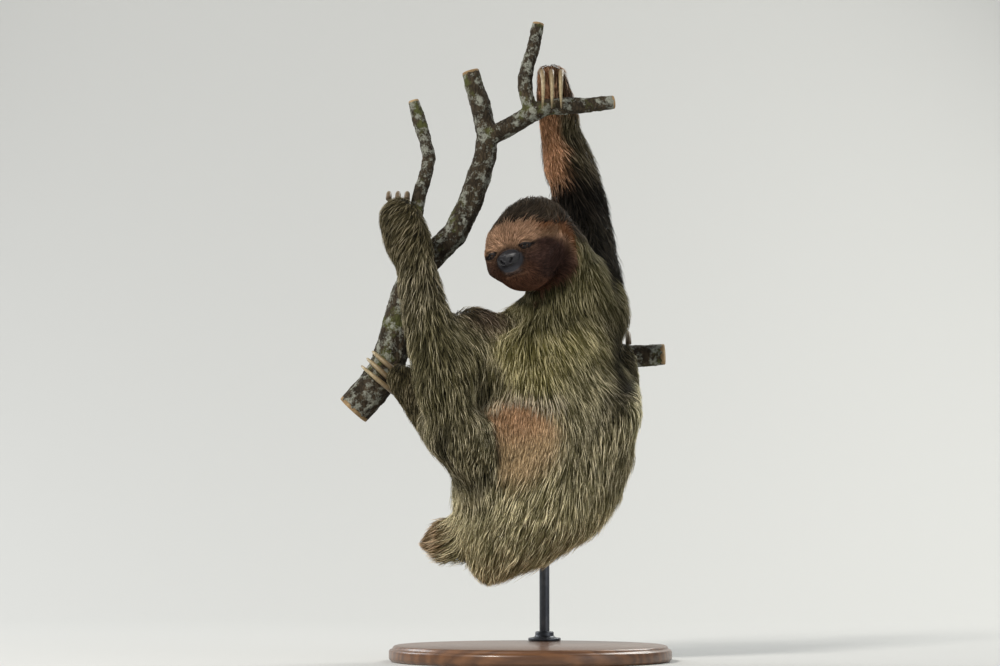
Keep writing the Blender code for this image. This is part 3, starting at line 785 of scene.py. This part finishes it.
def coat_tree(name, shares, heights):
    """Nodes that scatter locks over the skin and walk each along the lie of the hair.

    shares are the parts of the length at which the walk stops, and heights are the lowest and highest
    parts of the coat's depth that the lock keeps at each stop.
    """
    tree = bpy.data.node_groups.new(name, "GeometryNodeTree")
    for label, kind in (("Skin", "Geometry"), ("Lock", "Object"), ("Piece", "Int"), ("Closeness", "Float"),
                        ("Seed", "Int"), ("Clump turn", "Float"), ("Stray turn", "Float"),
                        ("Stiffness", "Float"), ("Droop", "Float"), ("Finish", "Material")):
        tree.interface.new_socket(label, in_out="INPUT", socket_type="NodeSocket" + kind)
    tree.interface.new_socket("Coat", in_out="OUTPUT", socket_type="NodeSocketGeometry")
    entry = tree.nodes.new("NodeGroupInput")
    given = {socket.name: Wire(tree, socket) for socket in entry.outputs if socket.name}
    wire = Wire(tree)

    def vector(label, kind="FLOAT_VECTOR"):
        return wire.node("GeometryNodeInputNamedAttribute", {"data_type": kind}, {"Name": label})

    def number(label):
        return vector(label, "FLOAT")

    def stored(geometry, kind=None, domain="POINT", **fields):
        for label, value in fields.items():
            settings = {"data_type": kind or ("FLOAT_VECTOR" if wire.is_vector(value) else "FLOAT"), "domain": domain}
            geometry = wire.node("GeometryNodeStoreNamedAttribute", settings,
                                 {"Geometry": geometry, "Name": label, "Value": value})
        return geometry

    def sampled(value, place):
        return wire.node("GeometryNodeSampleNearestSurface", {"data_type": "FLOAT_VECTOR"},
                         {"Mesh": given["Skin"], "Value": value, "Sample Position": place})

    def chance(low, high, step):
        return wire.node("FunctionNodeRandomValue", {"data_type": "FLOAT"},
                         {2: low, 3: high, "Seed": given["Seed"] + step}, 1)

    def straight(way):
        return wire.node("ShaderNodeVectorMath", {"operation": "NORMALIZE"}, {0: way})

    place = wire.node("GeometryNodeInputPosition")
    chosen = wire.node("FunctionNodeCompare", {"data_type": "INT", "operation": "EQUAL"},
                       {2: vector("piece", "INT"), 3: given["Piece"]})
    state = wire.node("GeometryNodeDistributePointsOnFaces", {"distribute_method": "RANDOM"},
                      {"Mesh": given["Skin"], "Selection": chosen,
                       "Density": given["Closeness"] * number("crowd"), "Seed": given["Seed"]})
    clump = wire.node("ShaderNodeTexNoise", inputs={"Vector": place, "Scale": 85.0, "Detail": 1.0}, output=1)
    stray = wire.node("FunctionNodeRandomValue", {"data_type": "FLOAT_VECTOR"},
                      {0: (-1.0,) * 3, 1: (1.0,) * 3, "Seed": given["Seed"] + 1})
    streak = wire.node("ShaderNodeTexNoise", inputs={"Vector": place, "Scale": 420.0, "Detail": 1.0})
    turn = (clump - (0.5,) * 3) * given["Clump turn"] + stray * given["Stray turn"]
    shade = (0.5 + 1.6 * (streak - 0.5) + 0.75 * (chance(0.0, 1.0, 2) - 0.5)).clamped()
    longer = chance(0.55, 0.95, 3) + 0.36 * number("strand")
    state = stored(state, turn=turn, root=place, spot=vector("OFBake"), strand=shade,
                   reach=number("length") * longer,
                   lift=number("depth") * (chance(0.40, 0.64, 4) + 0.40 * number("strand")),
                   wide=number("girth") * chance(0.60, 1.40, 5) * (1.15 - 0.30 * number("strand")),
                   heading=straight(vector("lie") + vector("turn") + 0.5 * vector("nrm")))
    before, last = 0.0, place
    stops = [vector("root")]
    keep = given["Stiffness"]
    drop = wire.node("ShaderNodeCombineXYZ", inputs={2: 0.0 - given["Droop"]})
    for step, (share, (low, high)) in enumerate(zip(shares, heights), 1):
        ahead = last + vector("heading") * (number("reach") * (share - before))
        ground = sampled(place, ahead)
        normal = straight(sampled(vector("nrm"), ahead))
        height = wire.maths("DOT_PRODUCT", ahead - ground, normal)
        height = height.clamped(number("lift") * low, number("lift") * high)
        state = stored(state, **{f"stop{step}": ground + normal * height})
        flow = straight(sampled(vector("lie"), ahead) + vector("turn"))
        state = stored(state, heading=straight(vector("heading") * keep + flow * (1.0 - keep) + drop))
        before, last = share, vector(f"stop{step}")
        stops.append(last)
    lock = wire.node("GeometryNodeObjectInfo", inputs={"Object": given["Lock"]}, output=4)
    state = wire.node("GeometryNodeInstanceOnPoints", inputs={"Points": state, "Instance": lock})
    state = wire.node("GeometryNodeRealizeInstances", inputs={"Geometry": state})
    switch = tree.nodes.new("GeometryNodeIndexSwitch")
    switch.data_type = "VECTOR"
    while len(switch.index_switch_items) < len(stops):
        switch.index_switch_items.new()
    for socket, value in zip(switch.inputs, [vector("level", "INT"), *stops]):
        tree.links.new(value.socket, socket)
    run = last - vector("root")
    sideways = straight(wire.maths("CROSS_PRODUCT", run, vector("nrm")))
    upwards = straight(wire.maths("CROSS_PRODUCT", sideways, run))
    body = Wire(tree, switch.outputs[0]) + sideways * (number("wide") * (0.5 * number("across")))
    body = body + upwards * (number("wide") * (0.45 * number("above")))
    state = wire.node("GeometryNodeSetPosition", inputs={"Geometry": state, "Position": body})
    spot = wire.node("ShaderNodeCombineXYZ", inputs={0: number("spot_u"), 1: number("spot_v")})
    state = stored(state, "FLOAT2", "CORNER", OFBake=vector("spot") + spot * PATCH_WIDTH)
    state = wire.node("GeometryNodeSetShadeSmooth", inputs={"Geometry": state})
    state = wire.node("GeometryNodeSetMaterial", inputs={"Geometry": state, "Material": given["Finish"]})
    tree.links.new(state.socket, tree.nodes.new("NodeGroupOutput").inputs[0])
    return tree


def hair_paint(place):
    strand, along, plush, fringed = [attribute(place, name) for name in ("strand", "along", "plush", "fringe")]
    uneven = 0.09 + 1.60 * strand**1.9
    # Each hair darkens towards its root: partly its own tone, partly painted shade deep in the coat.
    colour = marks_and_painted_light(place) * (uneven + plush * (0.55 - 0.62 * uneven)) * (0.24 + 1.02 * along)
    level = colour.node("ShaderNodeSeparateColor", inputs={0: colour}, output=1)
    # The palest strands turn lighter and more neutral: partly the hair's own pale colour, partly painted highlight.
    pale = (strand - 0.66).clamped() * 3.4 * (0.3 + 0.7 * along) * (1.0 - 0.75 * plush)
    colour = mixed(colour, colour * 1.4 + level * (1.12, 0.98, 0.92), pale.clamped(0.0, 0.95))
    tips = fringed * along**1.8 * ((strand - 0.55) * 5.0).clamped()
    colour = colour * (1.0 - 0.45 * fringed * (1.0 - tips))
    return {"Base Color": mixed(colour, (0.85, 0.72, 0.57), tips * 0.95)}


# The lock stands straight up, one unit to each ring, and its attributes say where each vertex belongs.
# It is made inside out, because the tree mirrors it as it lays it down, which turns its faces outwards.
bm = lofted([[(a, b, level) for a, b in SPINDLE_CORNERS] for level in (1, 2)], (0, 0, 0), (0, 0, 3))
bmesh.ops.triangulate(bm, faces=bm.faces)
bmesh.ops.reverse_faces(bm, faces=bm.faces)
lock = solid("lock", bm)
lock_x, lock_y, lock_z = points_of(lock.data).T
level = lock_z.astype(int)
widths = np.array(SPINDLE_GIRTHS)[level]
along = lock_z / 3
mark(lock.data, across=lock_x * widths, above=lock_y * widths, along=along, spot_u=lock_x * 0.5, spot_v=along - 0.5)
mark(lock.data, "INT", level=level)

hair_finish = finish("coat_hair", hair_paint, Roughness=0.62, Specular_IOR_Level=0.14)
# The slot, tree and settings of the long hair and of the plush.
LONG_HAIR = ("coat", coat_tree("long_coat", (0.20, 0.62, 1.0), ((0.40, 0.70), (0.70, 0.98), (0.60, 1.12))),
             {"Clump turn": 0.32, "Stray turn": 0.27, "Droop": 0.10})
PLUSH = ("face_coat", coat_tree("short_coat", (0.25, 0.65, 1.0), ((0.25, 0.70), (0.55, 1.00), (0.60, 1.25))),
         {"Clump turn": 0.5, "Stray turn": 0.20, "Droop": 0.02})
in_back = y > 0.012
high_up = z > 0.292
body = on("trunk", "tail")
# Each piece of the coat with its count of locks. A place goes to the first piece that holds it.
COAT_PIECES = [
    ("coat_face", 15200, (disc > 0.45) & on("head", "neck")), ("coat_head", 12500, on("head", "neck")),
    ("coat_chest", 14500, body & ~in_back & high_up), ("coat_belly", 15500, body & ~in_back),
    ("coat_shoulders", 11000, body & high_up), ("coat_rump", 12000, body),
]
for limb, parts, counts in (("arm", ARM, (10500, 13500)), ("leg", LEG, (8000, 9000))):
    for side, count in zip(SIDES, counts):
        COAT_PIECES.append((f"coat_{limb}{side}", count, on(*[part + side for part in parts])))
SKIN_WORK = ("nrm", "lie", "depth", "length", "girth", "crowd", "piece")
HAIR_WORK = SKIN_WORK + ("bare", "spot", "turn", "reach", "lift", "wide", "heading", "across", "above", "level",
                         "spot_u", "spot_v", "stop1", "stop2", "stop3")
piece_of = np.full(len(points), -1)
for number, (_, _, chosen) in enumerate(COAT_PIECES):
    piece_of[chosen & (piece_of < 0)] = number
first_corner = read(skin.data.polygons, "loop_start", 1, np.int32)[:, 0]
face_point = read(skin.data.loops, "vertex_index", 1, np.int32)[first_corner, 0]
face_area = read(skin.data.polygons, "area", 1)[:, 0]
mark(skin.data, "INT", "FACE", piece=piece_of[face_point])

for number, (name, count, _) in enumerate(COAT_PIECES):
    slot, tree, settings = PLUSH if name == "coat_face" else LONG_HAIR
    here = piece_of[face_point] == number
    values = {"Lock": lock, "Piece": number, "Seed": 10 * number + 3, "Stiffness": 0.45, "Finish": hair_finish,
              "Closeness": count / float(np.sum(face_area[here] * crowd[face_point][here])), **settings}
    obj = new_piece(name, skin.data.copy())
    modifier = obj.modifiers.new("coat", "NODES")
    modifier.node_group = tree
    for item in tree.interface.items_tree:
        if item.name in values:
            modifier[item.identifier] = values[item.name]
    made = applied(obj)
    for label in set(HAIR_WORK) & set(made.attributes.keys()):
        made.attributes.remove(made.attributes[label])
    made.uv_layers.active = made.uv_layers["OFBake"]
    made.uv_layers["OFBake"].active_render = True
    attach(obj, "root")
bpy.data.objects.remove(lock)
for label in SKIN_WORK:
    skin.data.attributes.remove(skin.data.attributes[label])

# ---------------------------------------------------------------- the nose
# A bare leathery pad, wide and low, standing a little proud of the muzzle. Two comma-shaped nostrils
# open forwards, and a shallow groove runs down between them to the lip.

NOSE_MIDDLE = np.array((0.0, -0.0148, 0.0518))
NOSE_HALVES = np.array((0.0150, 0.0096, 0.0070))
NOSTRIL = np.array(((0.0046, -0.0046, 0.0), (0.0064, -0.0036, 0.0), (0.0078, -0.0014, 0.0)))


def nose_form(places):
    """Shapes a unit ball into the pad, in the head's axes."""
    form = np.sign(places) * np.abs(places) ** (0.80, 0.86, 0.80) * NOSE_HALVES
    form[:, 0] *= 1 + 0.12 * ramp(form[:, 1], -0.006, 0.004)
    away = to_line(two_sided(form * (1, 1, 0)), NOSTRIL)
    relief = 0.0008 * bell(away - 0.0024, 0.0012) - 0.0042 * bell(away, 0.0012)
    relief -= 0.0009 * bell(form[:, 0], 0.0008) * ramp(form[:, 1], 0.001, -0.003)
    relief += 0.0007 * bell(form[:, 1] - 0.0052, 0.0026)
    ahead = ramp(places[:, 2], 0.0, 0.35)
    form[:, 2] += relief * ahead
    form[:, 2] -= 0.0022 * ramp(form[:, 1], 0.000, 0.0095) + 0.16 * np.abs(form[:, 0]) * ahead
    return form + NOSE_MIDDLE


def leather_paint(place):
    pebbles = place.node("ShaderNodeTexVoronoi", inputs={"Vector": place, "Scale": 1100.0})
    stain = cloud(place, 160.0, 4.0)
    worn = (stain * 1.6 - 0.35 + 0.25 * pebbles).clamped()
    return {
        "Base Color": mixed((0.006, 0.006, 0.007), (0.024, 0.023, 0.026), worn),
        "Roughness": 0.28 + 0.20 * stain,
        "Normal": bumped(0.0 - pebbles + 0.4 * cloud(place, 2600.0), 0.35, 0.0004),
    }


bm = bmesh.new()
bmesh.ops.create_icosphere(bm, subdivisions=6, radius=1.0)
nose = solid("nose_pad", bm)
set_points(nose.data, from_head(nose_form(points_of(nose.data))))
fitted(nose, finish("nose_leather", leather_paint, Specular_IOR_Level=0.34), "nose_leather", "nose")

# ---------------------------------------------------------------- the eyes
# Small dark brown eyes, sunk under heavy lids. Each is a ball with a slightly raised clear front, a
# round pupil and a brown iris that is almost as dark, always wet.

EYE_RINGS = 40
EYE_SPOKES = 48
CORNEA_RISE = 0.0004
# From the pupil outwards: black, then iris brown, its dark rim and the dim white.
EYE_STOPS = (
    (0.00, (0.002, 0.002, 0.002)), (0.17, (0.002, 0.002, 0.002)), (0.20, (0.030, 0.014, 0.006)),
    (0.36, (0.052, 0.024, 0.010)), (0.44, (0.012, 0.007, 0.005)), (0.60, (0.060, 0.045, 0.036)),
)


def eye_paint(place):
    rings = (attribute(place, "from_pupil") * 0.5).banded(EYE_STOPS)
    return {"Base Color": rings * (0.7 + 0.6 * cloud(place, 1800.0))}


eye_finish = finish("eye", eye_paint, Roughness=0.12, Coat_Weight=0.18, Coat_Roughness=0.03,
                    Specular_IOR_Level=0.25)
for label, side in (("left", 1), ("right", -1)):
    centre, _, up, out = eye_axes(side)
    bm = bmesh.new()
    bmesh.ops.create_uvsphere(bm, u_segments=EYE_SPOKES, v_segments=EYE_RINGS, radius=1.0)
    eye = solid("eyeball_" + label, bm)
    ball = points_of(eye.data)
    from_front = np.arccos(np.clip(ball[:, 2], -1, 1))
    radius = EYE_RADIUS + CORNEA_RISE * bell(from_front, 0.55)
    set_points(eye.data, from_head(centre + ball @ (np.cross(up, out), up, out) * radius[:, None]))
    mark(eye.data, from_pupil=from_front)
    fitted(eye, eye_finish, "eye", "eye_" + label)

# ---------------------------------------------------------------- the claws
# Three long hooks of horn on each hand and foot, closed round the branches. Each grows from under the
# hair, deeper than it is wide, with growth ridges across it, and thins evenly to a blunt point.

CLAW_STATIONS = 46
CLAW_SIDES = 16
CLAW_ROOT = 0.0042
CLAW_TIP = 0.0009
CLAW_SUNK = math.radians(9)
HORN_STOPS = ((0.00, srgb(92, 74, 52)), (0.30, srgb(150, 130, 96)), (0.75, srgb(186, 168, 130)),
              (1.00, srgb(126, 106, 76)))


def hook_of(claw):
    """The circle that a claw bends round: its middle, the way to the root, the way it turns, radius, sweep."""
    places = node_points(claw)
    mean = places.mean(axis=0)
    plane = np.linalg.svd(places - mean, full_matrices=False)[2]
    flat = (places - mean) @ plane[:2].T
    fit = np.linalg.lstsq(np.c_[2 * flat, np.ones(len(flat))], (flat**2).sum(axis=1), rcond=None)[0]
    centre = mean + fit[:2] @ plane[:2]
    radius = math.sqrt(fit[2] + fit[:2] @ fit[:2])
    to_root = middle_of_root(claw) - centre
    to_root = unit(to_root - plane[2] * (to_root @ plane[2]))
    onward = np.cross(plane[2], to_root)
    angles = np.arctan2((places - centre) @ onward, (places - centre) @ to_root)
    if np.median(angles) < 0:
        onward, angles = -onward, -angles
    return centre, to_root, onward, radius, np.where(angles < -1.2, angles + 2 * math.pi, angles).max()


def circle(sides):
    """The cosines and sines of even steps round a circle."""
    turns = 2 * np.pi * np.arange(sides) / sides
    return np.cos(turns)[:, None], np.sin(turns)[:, None]


def horn_paint(place):
    along, around = attribute(place, "along"), attribute(place, "around")
    streaks = cloud(place.node("ShaderNodeCombineXYZ", inputs={0: around * 26.0, 1: along * 2.5}), 1.0, 4.0, 0.6)
    ridges = cloud(place.node("ShaderNodeCombineXYZ", inputs={0: along * 60.0, 1: around * 1.5}), 1.0, 2.0)
    stains = cloud(place, 300.0, 4.0)
    body = along.banded(HORN_STOPS) * (0.66 + 0.62 * streaks)
    return {
        "Base Color": mixed(body, srgb(84, 70, 50), (stains * 1.8 - 0.65).clamped(0.0, 0.6)),
        "Roughness": 0.34 + 0.25 * stains,
        "Normal": bumped(ridges + 0.5 * streaks, 0.30, 0.0004),
    }


horn_finish = finish("claw_horn", horn_paint, Specular_IOR_Level=0.5)
cosines, sines = circle(CLAW_SIDES)
deep = cosines * np.where(cosines > 0, 1.06, 0.90)
share = np.linspace(0.0, 1.0, CLAW_STATIONS)[:, None, None]
thick = CLAW_TIP + (CLAW_ROOT - CLAW_TIP) * (1 - share**1.7)
thick = thick * (1 + 0.018 * np.sin(share * 70) * (1 - share) - 0.35 * np.maximum(0.0, (share - 0.95) / 0.05) ** 2)
for claw in CLAWS:
    centre, to_root, onward, radius, sweep = hook_of(claw)
    angle = -CLAW_SUNK + (sweep + CLAW_SUNK) * share
    outwards = np.cos(angle) * to_root + np.sin(angle) * onward
    rings = centre + outwards * (radius + thick * deep) + np.cross(to_root, onward) * (0.84 * thick * sines)
    horn = solid(claw.replace("claw_", "horn_"), lofted(rings))
    mark(horn.data, along=np.repeat(share, CLAW_SIDES),
         around=np.tile(np.arange(CLAW_SIDES) / CLAW_SIDES, CLAW_STATIONS))
    fitted(horn, horn_finish, "claw", claw)

# ---------------------------------------------------------------- the perch
# One forked branch of a rough-barked tree, cut short. The bark is cracked and knobbly, dark brown
# where it is bare and pale grey where lichen has spread. The ends are sawn square.

PERCH = [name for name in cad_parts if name.startswith("perch_")]
BARK_VOXEL = 0.0019
BARK_CLOSING = 0.0011
BARK_SHIFT = (4.1, 2.3, 6.7)
# Where each branch is sawn off, and its radius there.
SAWN = (
    ("lower", (-0.2225, 0.045, 0.314), 0.0220), ("top", (-0.075, 0.045, 0.746), 0.0110),
    ("cross", (0.175, 0.124, 0.390), 0.0135), ("fork", (0.105, 0.005, 0.700), 0.0085),
    ("stem", (0.011, 0.015, 0.802), 0.0074), ("side", (-0.147, 0.022, 0.704), 0.0068),
    ("spur", (-0.187, 0.024, 0.555), 0.0072),
)
DISC_RINGS = 9
DISC_SPOKES = 40


def bark_paint(place):
    cracks = place.node("ShaderNodeTexVoronoi", {"feature": "DISTANCE_TO_EDGE"},
                        {"Vector": place * (1.0, 1.0, 0.4), "Scale": 210.0})
    cracked = (cracks * 7.0).clamped()
    fine = cloud(place, 900.0, 5.0, 0.65)
    broad = cloud(place, 60.0, 5.0, 0.6)
    lichen = cloud(place + (3.1, 1.7, 0.4), 85.0, 6.0, 0.62)
    spots = cloud(place + (0.7, 5.3, 2.2), 420.0, 3.0, 0.6)
    moss = cloud(place + (9.0, 2.0, 4.0), 34.0, 4.0, 0.6)
    wood = mixed(srgb(34, 28, 21), srgb(78, 67, 51), (broad * 2.0 - 0.5).clamped())
    # The bark is darker in its cracks: painted shade in the recesses.
    wood = wood * (0.55 + 0.45 * cracked) * (0.60 + 0.80 * fine)
    mossy = mixed(wood, srgb(92, 98, 52), (moss * 6.0 - 3.3).clamped(0.0, 0.55))
    crust = (lichen * 9.0 - 4.55 + (spots - 0.5) * 2.6).clamped()
    grey = mixed(srgb(112, 113, 98), srgb(170, 171, 160), (fine * 2.2 - 0.6).clamped())
    return {
        "Base Color": mixed(mossy, grey, crust * 0.88),
        "Roughness": 0.88 + 0.10 * fine,
        "Normal": bumped(cracked * 0.7 + fine * 0.9 + crust * 0.5, 0.85, 0.0011),
    }


def end_grain_paint(place):
    bent = attribute(place, "from_pith") + 0.0016 * cloud(place, 120.0, 2.0)
    rings = place.maths("SINE", bent * 5200.0) * 0.5 + 0.5
    pores = cloud(place, 2400.0, 3.0, 0.7)
    wood = mixed(srgb(150, 122, 86), srgb(196, 170, 128), rings * 0.7 + 0.3 * pores) * (0.75 + 0.4 * pores)
    return {
        "Base Color": mixed(wood, srgb(104, 84, 60), (cloud(place, 110.0, 4.0) * 1.8 - 0.6).clamped(0.0, 0.7)),
        "Roughness": 0.72 + 0.15 * pores,
        "Normal": bumped(rings * 0.4 + pores, 0.5, 0.0003),
    }


branch = fused("branch", PERCH, BARK_CLOSING, BARK_VOXEL, 9)
places = points_of(branch.data)
# Knobs and lumps, then ribs and grain. All of it fades out towards the sawn ends.
knobs = 0.0012 * noise_at(places, 32, 1, BARK_SHIFT) + 0.0010 * noise_at(places, 95, 2, BARK_SHIFT)
ribs = 1 - np.abs(noise_at(places * (1, 1, 0.45), 260, 3, BARK_SHIFT)) * 2.4
rise = knobs + (0.00055 * ribs + 0.00045 * noise_at(places, 420, 4, BARK_SHIFT))
from_cut = np.min([np.linalg.norm(places - place, axis=1) - radius for _, place, radius in SAWN], axis=0)
rise = rise * ramp(from_cut, 0.001, 0.006)
set_points(branch.data, places + normals_of(branch.data) * rise[:, None])
fitted(branch, finish("bark", bark_paint, Specular_IOR_Level=0.25), "bark", *PERCH)

# Each sawn end is a disc of end grain, square to the branch where it was sawn.
end_grain = finish("end_grain", end_grain_paint, Specular_IOR_Level=0.3)
cosines, sines = circle(DISC_SPOKES)
for label, place, radius in SAWN:
    wood = min([node_points(node) for node in PERCH], key=lambda wood: np.min(np.linalg.norm(wood - place, axis=1)))
    away = np.linalg.norm(wood - place, axis=1)
    rim = wood[away < 1.25 * radius]
    square = np.linalg.svd(rim - rim.mean(axis=0))[2][2]
    if square @ (place - wood[away < 5 * radius].mean(axis=0)) < 0:
        square = -square
    first = unit(np.cross(square, (0.31, 0.52, 0.79)))
    spokes = cosines * first + sines * np.cross(square, first)
    reach = radius + BARK_CLOSING - 0.0012
    origin = place + square * (BARK_CLOSING + 0.0003)
    profile = [(reach * i / DISC_RINGS, 0.0) for i in range(1, DISC_RINGS)]
    profile += [(reach - 0.0006, -0.0001), (reach, -0.0008), (reach, -0.0050)]
    rings = []
    for out, down in profile:
        spots = origin + out * spokes
        rings.append(spots + square * (down + 0.00012 * noise_at(spots, 600, 0))[:, None])
    sawn = solid("sawn_end_" + label, lofted(rings, start=origin))
    mark(sawn.data, from_pith=np.r_[np.repeat([out for out, _ in profile], DISC_SPOKES), 0.0])
    fitted(sawn, end_grain, "bark")

# ---------------------------------------------------------------- the stand
# A turned and varnished wooden base, and a blued steel rod that screws into it through a collar. A
# rounded saddle brazed to the rod's top carries the cross branch.

BASE_SIDES = 160
BASE_PROFILE = (
    (0.1700, 0.0), (0.1722, 0.0006), (0.1732, 0.0020), (0.1746, 0.0034), (0.1750, 0.0052), (0.1750, 0.0120),
    (0.1746, 0.0138), (0.1734, 0.0150), (0.1712, 0.0158), (0.1704, 0.0166), (0.1698, 0.0182), (0.1684, 0.0194),
    (0.1664, 0.0200),
)
COLLAR_PROFILE = (
    (0.0200, 0.0), (0.0208, 0.0004), (0.0210, 0.0012), (0.0210, 0.0030), (0.0204, 0.0038), (0.0150, 0.0044),
    (0.0128, 0.0056), (0.0120, 0.0074), (0.0120, 0.0104), (0.0115, 0.0114), (0.0104, 0.0120),
)
ROD_SIDES = 48
SADDLE_VOXEL = 0.0007


def turned(name, profile, sides, place):
    """A solid turned on a lathe: rings of this radius and height from the underside up, closed at both ends."""
    cosines, sines = circle(sides)
    rings = [place + out * np.hstack([cosines, sines, 0 * sines]) + (0, 0, up) for out, up in profile]
    return solid(name, lofted(rings, place + (0, 0, profile[0][1]), place + (0, 0, profile[-1][1])))


def wood_paint(place):
    sway = cloud(place * (1.0, 3.0, 3.0), 9.0)
    rings = place.maths("DOT_PRODUCT", place, (0.0, 1.0, 0.35)) * 420.0 + sway * 16.0
    rings = place.maths("SINE", rings) * 0.5 + 0.5
    streaks = cloud(place * (1.0, 9.0, 9.0), 30.0, 6.0, 0.65)
    pores = cloud(place * (1.0, 14.0, 14.0), 160.0, 3.0, 0.7)
    colour = mixed(srgb(72, 45, 28), srgb(132, 90, 56), (rings * 0.45 + streaks * 0.75 - 0.1).clamped())
    return {
        "Base Color": colour * (0.80 + 0.35 * pores),
        "Roughness": 0.30 + 0.18 * pores,
        "Coat Weight": 0.25 + 0.2 * streaks,
        "Normal": bumped(pores * 0.7 + streaks * 0.5, 0.25, 0.0003),
    }


def steel_paint(place):
    drawn = cloud(place * (1.0, 1.0, 0.05), 2400.0, 3.0, 0.6)
    blotch = cloud(place, 70.0, 4.0)
    return {
        "Base Color": mixed((0.050, 0.055, 0.065), (0.135, 0.140, 0.150), (blotch * 1.5 - 0.25).clamped()),
        "Roughness": 0.26 + 0.22 * drawn + 0.10 * blotch,
        "Normal": bumped(drawn, 0.12, 0.0002),
    }


base = turned("base", BASE_PROFILE, BASE_SIDES, np.zeros(3))
fitted(base, finish("stand_wood", wood_paint, Coat_Roughness=0.15), "stand_wood", "stand_base")
base.data.set_sharp_from_angle(angle=math.radians(40))
steel = finish("stand_steel", steel_paint, Metallic=0.92)
low, high = [np.array(corner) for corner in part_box("stand_rod")]
foot = np.array((*(low + high)[:2] / 2, low[2]))
rod_radius, _, rod_length = (high - low) * (0.5, 0.5, 1.0)
rod = turned("rod", [(rod_radius, rod_length * share) for share in (0.0, 0.5, 1.0)], ROD_SIDES, foot)
foot[2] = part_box("stand_collar")[0][2]
collar = turned("collar", COLLAR_PROFILE, ROD_SIDES, foot)
saddle = fused("saddle", ["stand_saddle"], 0.0, SADDLE_VOXEL, 6)
for obj, node in ((rod, "stand_rod"), (collar, "stand_collar"), (saddle, "stand_saddle")):
    fitted(obj, steel, "stand_steel", node)
    obj.data.set_sharp_from_angle(angle=math.radians(50))

# ---------------------------------------------------------------- floor, light and camera
# A pale studio sweep that runs from the floor up into the background, soft lamps from the front, the
# side and behind, and a camera at a person's distance, level with the foot of the stand.

SWEEP_HALF = 6.0
SWEEP_FRONT = -7.0
SWEEP_BACK = 3.2
SWEEP_BEND = 1.6
SWEEP_TOP = 5.0
AIM = Vector((-0.0375, 0.0, 0.4075))
CAMERA_PLACE = Vector((-0.0375, -3.2, 0.14))
FRAME_WIDTH = 1.25
SENSOR_WIDTH = 36.0
# Each lamp's place, size, power and colour.
LAMPS = {
    "key": ((-1.9, -2.6, 2.6), 0.8, 125, (1.0, 0.97, 0.92)),
    "fill": ((2.6, -2.0, 1.1), 2.2, 18, (0.92, 0.96, 1.0)),
    "rim": ((1.8, 2.0, 2.4), 1.4, 58, (1.0, 1.0, 0.96)),
    "back": ((-2.6, 1.6, 1.8), 1.4, 40, (0.96, 0.98, 1.0)),
}


def aimed(name, data, place):
    """Stands a lamp or the camera at a place, turned towards the middle of the model."""
    obj = new_piece(name, data)
    obj.location = place
    obj.rotation_euler = (AIM - Vector(place)).to_track_quat("-Z", "Y").to_euler()
    return obj


bend = np.radians(90 * np.arange(25) / 24)
profile = [(SWEEP_FRONT, 0.0), *np.c_[SWEEP_BACK - SWEEP_BEND * (1 - np.sin(bend)), SWEEP_BEND * (1 - np.cos(bend))],
           (SWEEP_BACK, SWEEP_TOP)]
sweep = bpy.data.meshes.new("floor")
sweep.from_pydata([(x, y, z) for y, z in profile for x in (-SWEEP_HALF, SWEEP_HALF)], [],
                  [(i, i + 1, i + 3, i + 2) for i in range(0, 2 * len(profile) - 2, 2)])
sweep.shade_smooth()
sweep.materials.append(finish("studio_paper", None, Base_Color=(0.62, 0.62, 0.60, 1), Roughness=0.9))
floor = new_piece("floor", sweep)

for name, (place, size, watts, colour) in LAMPS.items():
    lamp = bpy.data.lights.new(name, "AREA")
    lamp.size, lamp.energy, lamp.color = size, watts, colour
    aimed(name, lamp, place)

world = bpy.data.worlds.new("studio")
world.use_nodes = True
world.node_tree.nodes["Background"].inputs["Color"].default_value = (0.86, 0.90, 0.95, 1)
world.node_tree.nodes["Background"].inputs["Strength"].default_value = 0.30
bpy.context.scene.world = world
bpy.context.scene.view_settings.view_transform = "Standard"

lens = bpy.data.cameras.new("camera")
lens.sensor_width = SENSOR_WIDTH
lens.lens = SENSOR_WIDTH * (AIM - CAMERA_PLACE).length / FRAME_WIDTH
bpy.context.scene.camera = aimed("camera", lens, CAMERA_PLACE)
